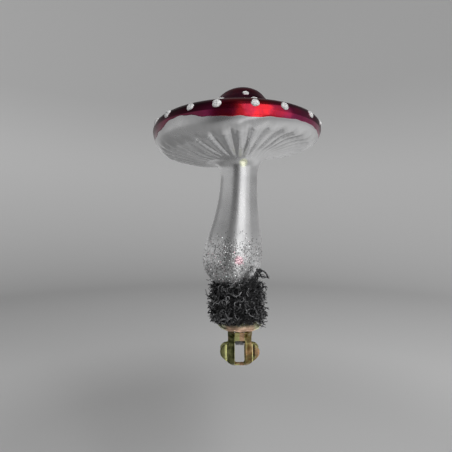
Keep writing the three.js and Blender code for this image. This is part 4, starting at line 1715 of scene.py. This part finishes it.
    def tray_shape(self) -> Shape:
        """The tray: a closed profile turned about Z, its brim drawn into ten scallops.

        Radius swells by a share of the cosine of ten times the angle, and the brim lifts with it,
        both fading in from the dome's foot. A fine flute at three times that runs round the brim.

        Returns:
            The shape, with the brass's attributes.
        """
        brim, floor, half = self.brim, self.floor, self.sheet / 2
        middle = [(1.6, floor + half), (4.0, floor + half), (7.2, floor + half), (8.1, floor - 0.25),
                  (8.75, brim + 0.75), (9.2, brim + 0.35), (self.tray_radius - 0.15, brim + 0.75)]
        dish = even_steps(spline(middle, 200), 54)
        wall = stacked(self.socket + half, np.linspace(floor + half, self.socket_top, 24))
        wall[:, 0] += 0.12 * smooth(self.socket_top - 1.4, self.socket_top, wall[:, 1])
        shape = Shape()
        angle = circle(240)
        for section in (thickened(dish, half), thickened(wall, half)):
            radius, z = section[:, :1], section[:, 1:]
            edge = smooth(8.6, self.tray_radius, radius)
            lobe = np.cos(10 * angle) * edge
            lift = 0.35 * lobe + 0.07 * np.cos(30 * angle) * edge
            points = polar(radius * (1 + 0.05 * lobe), z + lift, angle)
            rosy = 0.85 * (1 - smooth(5.5, 8.5, np.abs(points[..., 0]))) * smooth(7, 9, radius)
            shape.add(points, grid_faces(len(section), len(angle), wrap_rows=True), fold=0, blush=rosy)
        return shape

    def rivet_shape(self) -> Shape:
        """The rivet: domed heads above the tray's floor and below the tongue's tab.

        Returns:
            The closed shape.
        """
        flush, low_head, top_head, shank = 0.3, 1.7, 2.1, 1.0
        low, top = self.floor - self.tab_gap - self.sheet - flush, self.floor + self.sheet + flush
        turn = quarter(8)
        lower = np.hstack([low_head * np.sin(turn), low - 0.6 * np.cos(turn)])
        upper = np.hstack([top_head * np.cos(turn), top + 0.8 * np.sin(turn)])
        return turned_shape(np.vstack([lower, [[shank, low + 0.02], [shank, top - 0.02]], upper]), 48)

    def pin_shape(self) -> Shape:
        """The hinge pin with its two peened heads, turned and laid along X.

        Returns:
            The closed shape.
        """
        reach, radius, head = 5.2, 0.7, 1.1
        turn = quarter(7)
        peened = np.hstack([head * np.sin(turn), -reach + 0.45 * (1 - np.cos(turn))])
        low = np.vstack([peened, [[head, -reach + 0.5], [radius, -reach + 0.52]]])
        shape = turned_shape(np.vstack([low, (low * [1, -1])[::-1]]), 40)
        shape.points = [stacked(p[:, 2], p[:, 1], self.pivot - p[:, 0]) for p in shape.points]
        return shape

    def wire_shape(self, path: Array) -> Shape:
        """A round wire along a path.

        Args:
            path: the wire's middle line.
        Returns:
            The closed shape.
        """
        shape = Shape()
        shape.add_tubes(path[None], self.wire, 12, np.array([[1.0, 0.03, 0.02]]))
        return shape

    def coil_path(self) -> Array:
        """The spring's coil round the pin with the end that stands against the rear tongue.

        Returns:
            The wire's middle line.
        """
        turns, half, reach = 5.5, self.coil_half, self.coil
        share = np.linspace(0, 1, 460)
        angle = math.pi + 2 * math.pi * turns * share
        coil = stacked(half * (2 * share - 1), reach * np.cos(angle), self.pivot + reach * np.sin(angle))
        leg = [coil[-1], (half, reach + 0.02, self.pivot + 0.5), (half, reach + 0.1, self.pivot + 2.6)]
        return np.vstack([coil[:-1], spline(leg, 24)])

    def leg_path(self) -> Array:
        """The spring's other end, up against the front lever's back."""
        steps = ((0, -0.4), (0, 0.3), (0.16, 1.2), (0.62, 2.6))
        return spline([(-self.coil_half, -self.coil - out, self.pivot + up) for out, up in steps], 30)

    def build(self) -> None:
        """Makes every piece of the clip."""
        brass = BrassSheet(self.shop).material()
        dull = BrassSheet(self.shop, name="brass socket and rivet", rough=0.24).material()
        # The tray gets a paler, less metallic copy of the brass, painted light on its lobes.
        pale = BrassSheet(self.shop, name="tray brass painted pale as if lit", gold=rgb(0.90, 0.92, 0.62),
                          copper=rgb(0.78, 0.47, 0.34), rough=0.3, metal=0.5).material()
        steel = DrawnSteel(self.shop).material()
        fixed, sprung = Body.ORNAMENT, Body.JAW
        self.tray_shape().make("scalloped_tray", fixed, Slot.BRASS, pale, "clip_tray")
        self.rivet_shape().make("rivet_heads", fixed, Slot.BRASS, dull, "tray_rivet")
        self.jaw_shape(1, True, 3.9).make("rear_jaw_sheet", fixed, Slot.BRASS, brass, "jaw_fixed")
        self.tongue_shape().make("rear_jaw_tongue", fixed, Slot.BRASS, brass, "jaw_fixed")
        self.jaw_shape(-1, False, 3.0).make("front_jaw_sheet", sprung, Slot.BRASS, brass, "jaw_sprung")
        self.pin_shape().make("hinge_pin_peened", fixed, Slot.STEEL, steel, "hinge_pin")
        coil, leg = self.wire_shape(self.coil_path()), self.wire_shape(self.leg_path())
        coil.make("spring_coil", fixed, Slot.STEEL, steel, "torsion_spring")
        leg.make("spring_front_leg", sprung, Slot.STEEL, steel, "torsion_spring")


# The studio

# Name, azimuth from the viewer's side and elevation in degrees, distance, width and height, watts,
# and whether it is for gloss to show rather than for lighting matt surfaces
LAMPS = (("softbox", 25.5, 15, 620, (390, 760), 0.8, True),
         ("softbox edge", 57, 15, 620, (280, 760), 0.24, True),
         ("soft glow", 25.5, 38, 950, (500, 500), 5.0, False),
         ("low reflector", 25.5, -36, 500, (150, 340), 0.15, True),
         ("floor light", 40, 50, 2500, (1500, 1500), 18.0, False))
# Bands of the sky by the height of its direction: where each starts and is full, and its two values
SKY_BANDS = {"above": (0.06, 0.22, 0.0, 1.0), "below": (-0.3, -0.08, 1.0, 0.0),
             "high": (0.36, 0.55, 0.0, 1.0), "front": (-0.75, -0.5, 0.0, 1.0)}
# Patches of a band: azimuth from the viewer's side, degrees to its full part and to its end, band,
# and the share added to the light
SKY_PATCHES = ((-18, 10, 22, "front", -0.85), (-85, 35, 65, "high", -0.6), (95, 30, 60, "above", -0.4),
               (180, 45, 80, "above", -0.6), (-150, 20, 50, "below", -0.26), (135, 25, 60, "below", 0.5),
               (100, 20, 45, "below", 0.2), (-80, 50, 85, "below", -0.3), (0, 180, 180, "below", -0.12),
               (-110, 50, 85, "middle", 0.3))


@dataclass
class Studio:
    """A pale floor that curves up all round, soft lamps, and the sky that gloss reflects."""

    camera_at: tuple = (-6.8, -170.5, 63.5)
    lens: float = 27.16
    floor_z: float = -120.0

    def build(self) -> None:
        """Sets up the camera, the floor, the lights and the sky."""
        self.camera()
        self.backdrop()
        for lamp in LAMPS:
            self.lamp(*lamp)
        self.sky()

    def camera(self) -> None:
        """A level camera in front of the stem, as near as the photographer stood."""
        data = bpy.data.cameras.new("camera")
        data.lens, data.sensor_width = self.lens, 36.0
        data.clip_start, data.clip_end = 0.005, 20.0
        camera = placed("camera", data)
        camera.location = [v * MM for v in self.camera_at]
        camera.rotation_euler = (math.pi / 2, 0, 0)
        bpy.context.scene.camera = camera

    def paper(self) -> bpy.types.Material:
        """Matt pale paper with painted light: its tone rises with distance and towards +X, and painted shade
        darkens it with height.

        Returns:
            The material.
        """
        paper, sheet, shader, where = principled("pale paper")
        x, y, z = sheet.axes(where)
        squares = (sheet.math("POWER", axis, 2.0) for axis in (x, y))
        pale = sheet.span(sheet.math("SQRT", sheet.math("ADD", *squares)), 0.2, 0.4, 0.0, 0.9)
        high = sheet.span(z, 0.25, 0.7, 0.0, 0.9)
        tone = sheet.math("ADD", sheet.math("SUBTRACT", pale, high), sheet.span(x, -0.6, 0.6, -0.1, 0.1))
        colour = sheet.blend(tone, rgb(0.68, 0.68, 0.68), rgb(0.86, 0.86, 0.86))
        sheet.put(shader, Base_Color=colour, Roughness=0.9, Specular_IOR_Level=0.0)
        return paper

    def backdrop(self) -> None:
        """A floor disc that sweeps up in a quarter circle into a round wall."""
        radius, bend, height = 900.0, 500.0, 1500.0
        turn = quarter(24)[::-1]
        sweep = np.hstack([radius + bend * np.sin(turn), self.floor_z + bend * (1 - np.cos(turn))])
        flat = stacked(np.linspace(radius, 40, 14)[1:], self.floor_z)
        line = np.vstack([[[radius + bend, height]], sweep, flat])
        shape = Shape()
        shape.add_rings(polar(line[:, :1], line[:, 1:], circle(96)), last=np.array([0, 0, self.floor_z]))
        floor = placed("studio_floor", shape.mesh("studio_floor", self.paper()))
        for ray in ("glossy", "diffuse", "shadow", "transmission", "volume_scatter"):
            setattr(floor, f"visible_{ray}", False)

    def lamp(self, name: str, azimuth: float, elevation: float, distance: float, size: tuple,
             watts: float, mirrored: bool) -> None:
        """Adds a rectangular lamp turned to the stem's middle, with one row of LAMPS.

        Args:
            name: the lamp's name.
            azimuth: degrees from the viewer's side.
            elevation: degrees above the level.
            distance: how far off it stands.
            size: its width and height.
            watts: its power.
            mirrored: True for gloss to show, False to light matt surfaces.
        """
        turn, rise = math.radians(azimuth), math.radians(elevation)
        data = bpy.data.lights.new(name, "AREA")
        data.shape, data.energy = "RECTANGLE", watts
        data.size, data.size_y = size[0] * MM, size[1] * MM
        light = placed(name, data)
        level = distance * math.cos(rise)
        height = self.camera_at[2] + distance * math.sin(rise)
        light.location = (level * math.sin(turn) * MM, -level * math.cos(turn) * MM, height * MM)
        light.rotation_euler = (math.pi / 2 - rise, 0, turn)
        light.visible_camera = False
        light.visible_glossy, light.visible_diffuse = mirrored, not mirrored

    def sky(self) -> None:
        """Soft grey light from all sides, dim overhead and beside the camera, as in a plain room."""
        world = bpy.data.worlds.new("studio sky")
        bpy.context.scene.world = world
        world.use_nodes = True
        sheet = NodeSheet(world.node_tree)
        x, y, z = sheet.axes(sheet.node("TexCoord").outputs["Generated"])
        level = sheet.put(sheet.node("CombineXYZ"), X=x, Y=y, Z=0.0).outputs[0]
        flat = sheet.node("VectorMath", operation="NORMALIZE")
        sheet.feed(flat.inputs[0], level)

        def toward(azimuth: float, inner: float, outer: float) -> Socket:
            """1 within inner degrees of an azimuth, easing to 0 at outer degrees.

            Args:
                azimuth: degrees from the viewer's side.
                inner: degrees to the full part's end.
                outer: degrees to the patch's end.
            Returns:
                The patch's share.
            """
            turn = math.radians(azimuth)
            dot = sheet.node("VectorMath", operation="DOT_PRODUCT")
            sheet.feed(dot.inputs[0], flat.outputs[0])
            dot.inputs[1].default_value = (math.sin(turn), -math.cos(turn), 0)
            ends = (math.cos(math.radians(degrees)) for degrees in (outer, inner))
            return sheet.span(dot.outputs["Value"], *ends, 0.0, 1.0)

        bands = {name: sheet.span(z, *edges) for name, edges in SKY_BANDS.items()}
        beside = sheet.math("SUBTRACT", 1.0, bands["high"])
        bands["middle"] = sheet.math("SUBTRACT", beside, bands["below"])
        strength = sheet.math("MULTIPLY", sheet.span(z, 0.12, 0.45, 0.45, 0.26),
                              sheet.span(z, 0.5, 0.95, 1.0, 0.55))
        for azimuth, inner, outer, band, change in SKY_PATCHES:
            patch = toward(azimuth, inner, outer) if outer < 180 else 1.0
            share = sheet.math("MULTIPLY", patch, bands[band])
            strength = sheet.math("MULTIPLY", strength, sheet.math("MULTIPLY_ADD", share, change, 1.0))
        shader = sheet.put(sheet.node("Background"), Color=rgb(1, 1, 1), Strength=strength)
        sheet.put(sheet.node("OutputWorld"), Surface=shader.outputs[0])


def main() -> None:
    """Builds the ornament from the cap down, then the studio round it."""
    bpy.context.scene.view_settings.view_transform = "Standard"
    shop = Workshop.open()
    glass = GlassBody(shop)
    for part in (glass, CapDots(shop, glass), BulbGlitter(shop, glass), MossCollar(shop), TwigClip(shop),
                 Studio()):
        part.build()


if __name__ == "__main__":
    main()
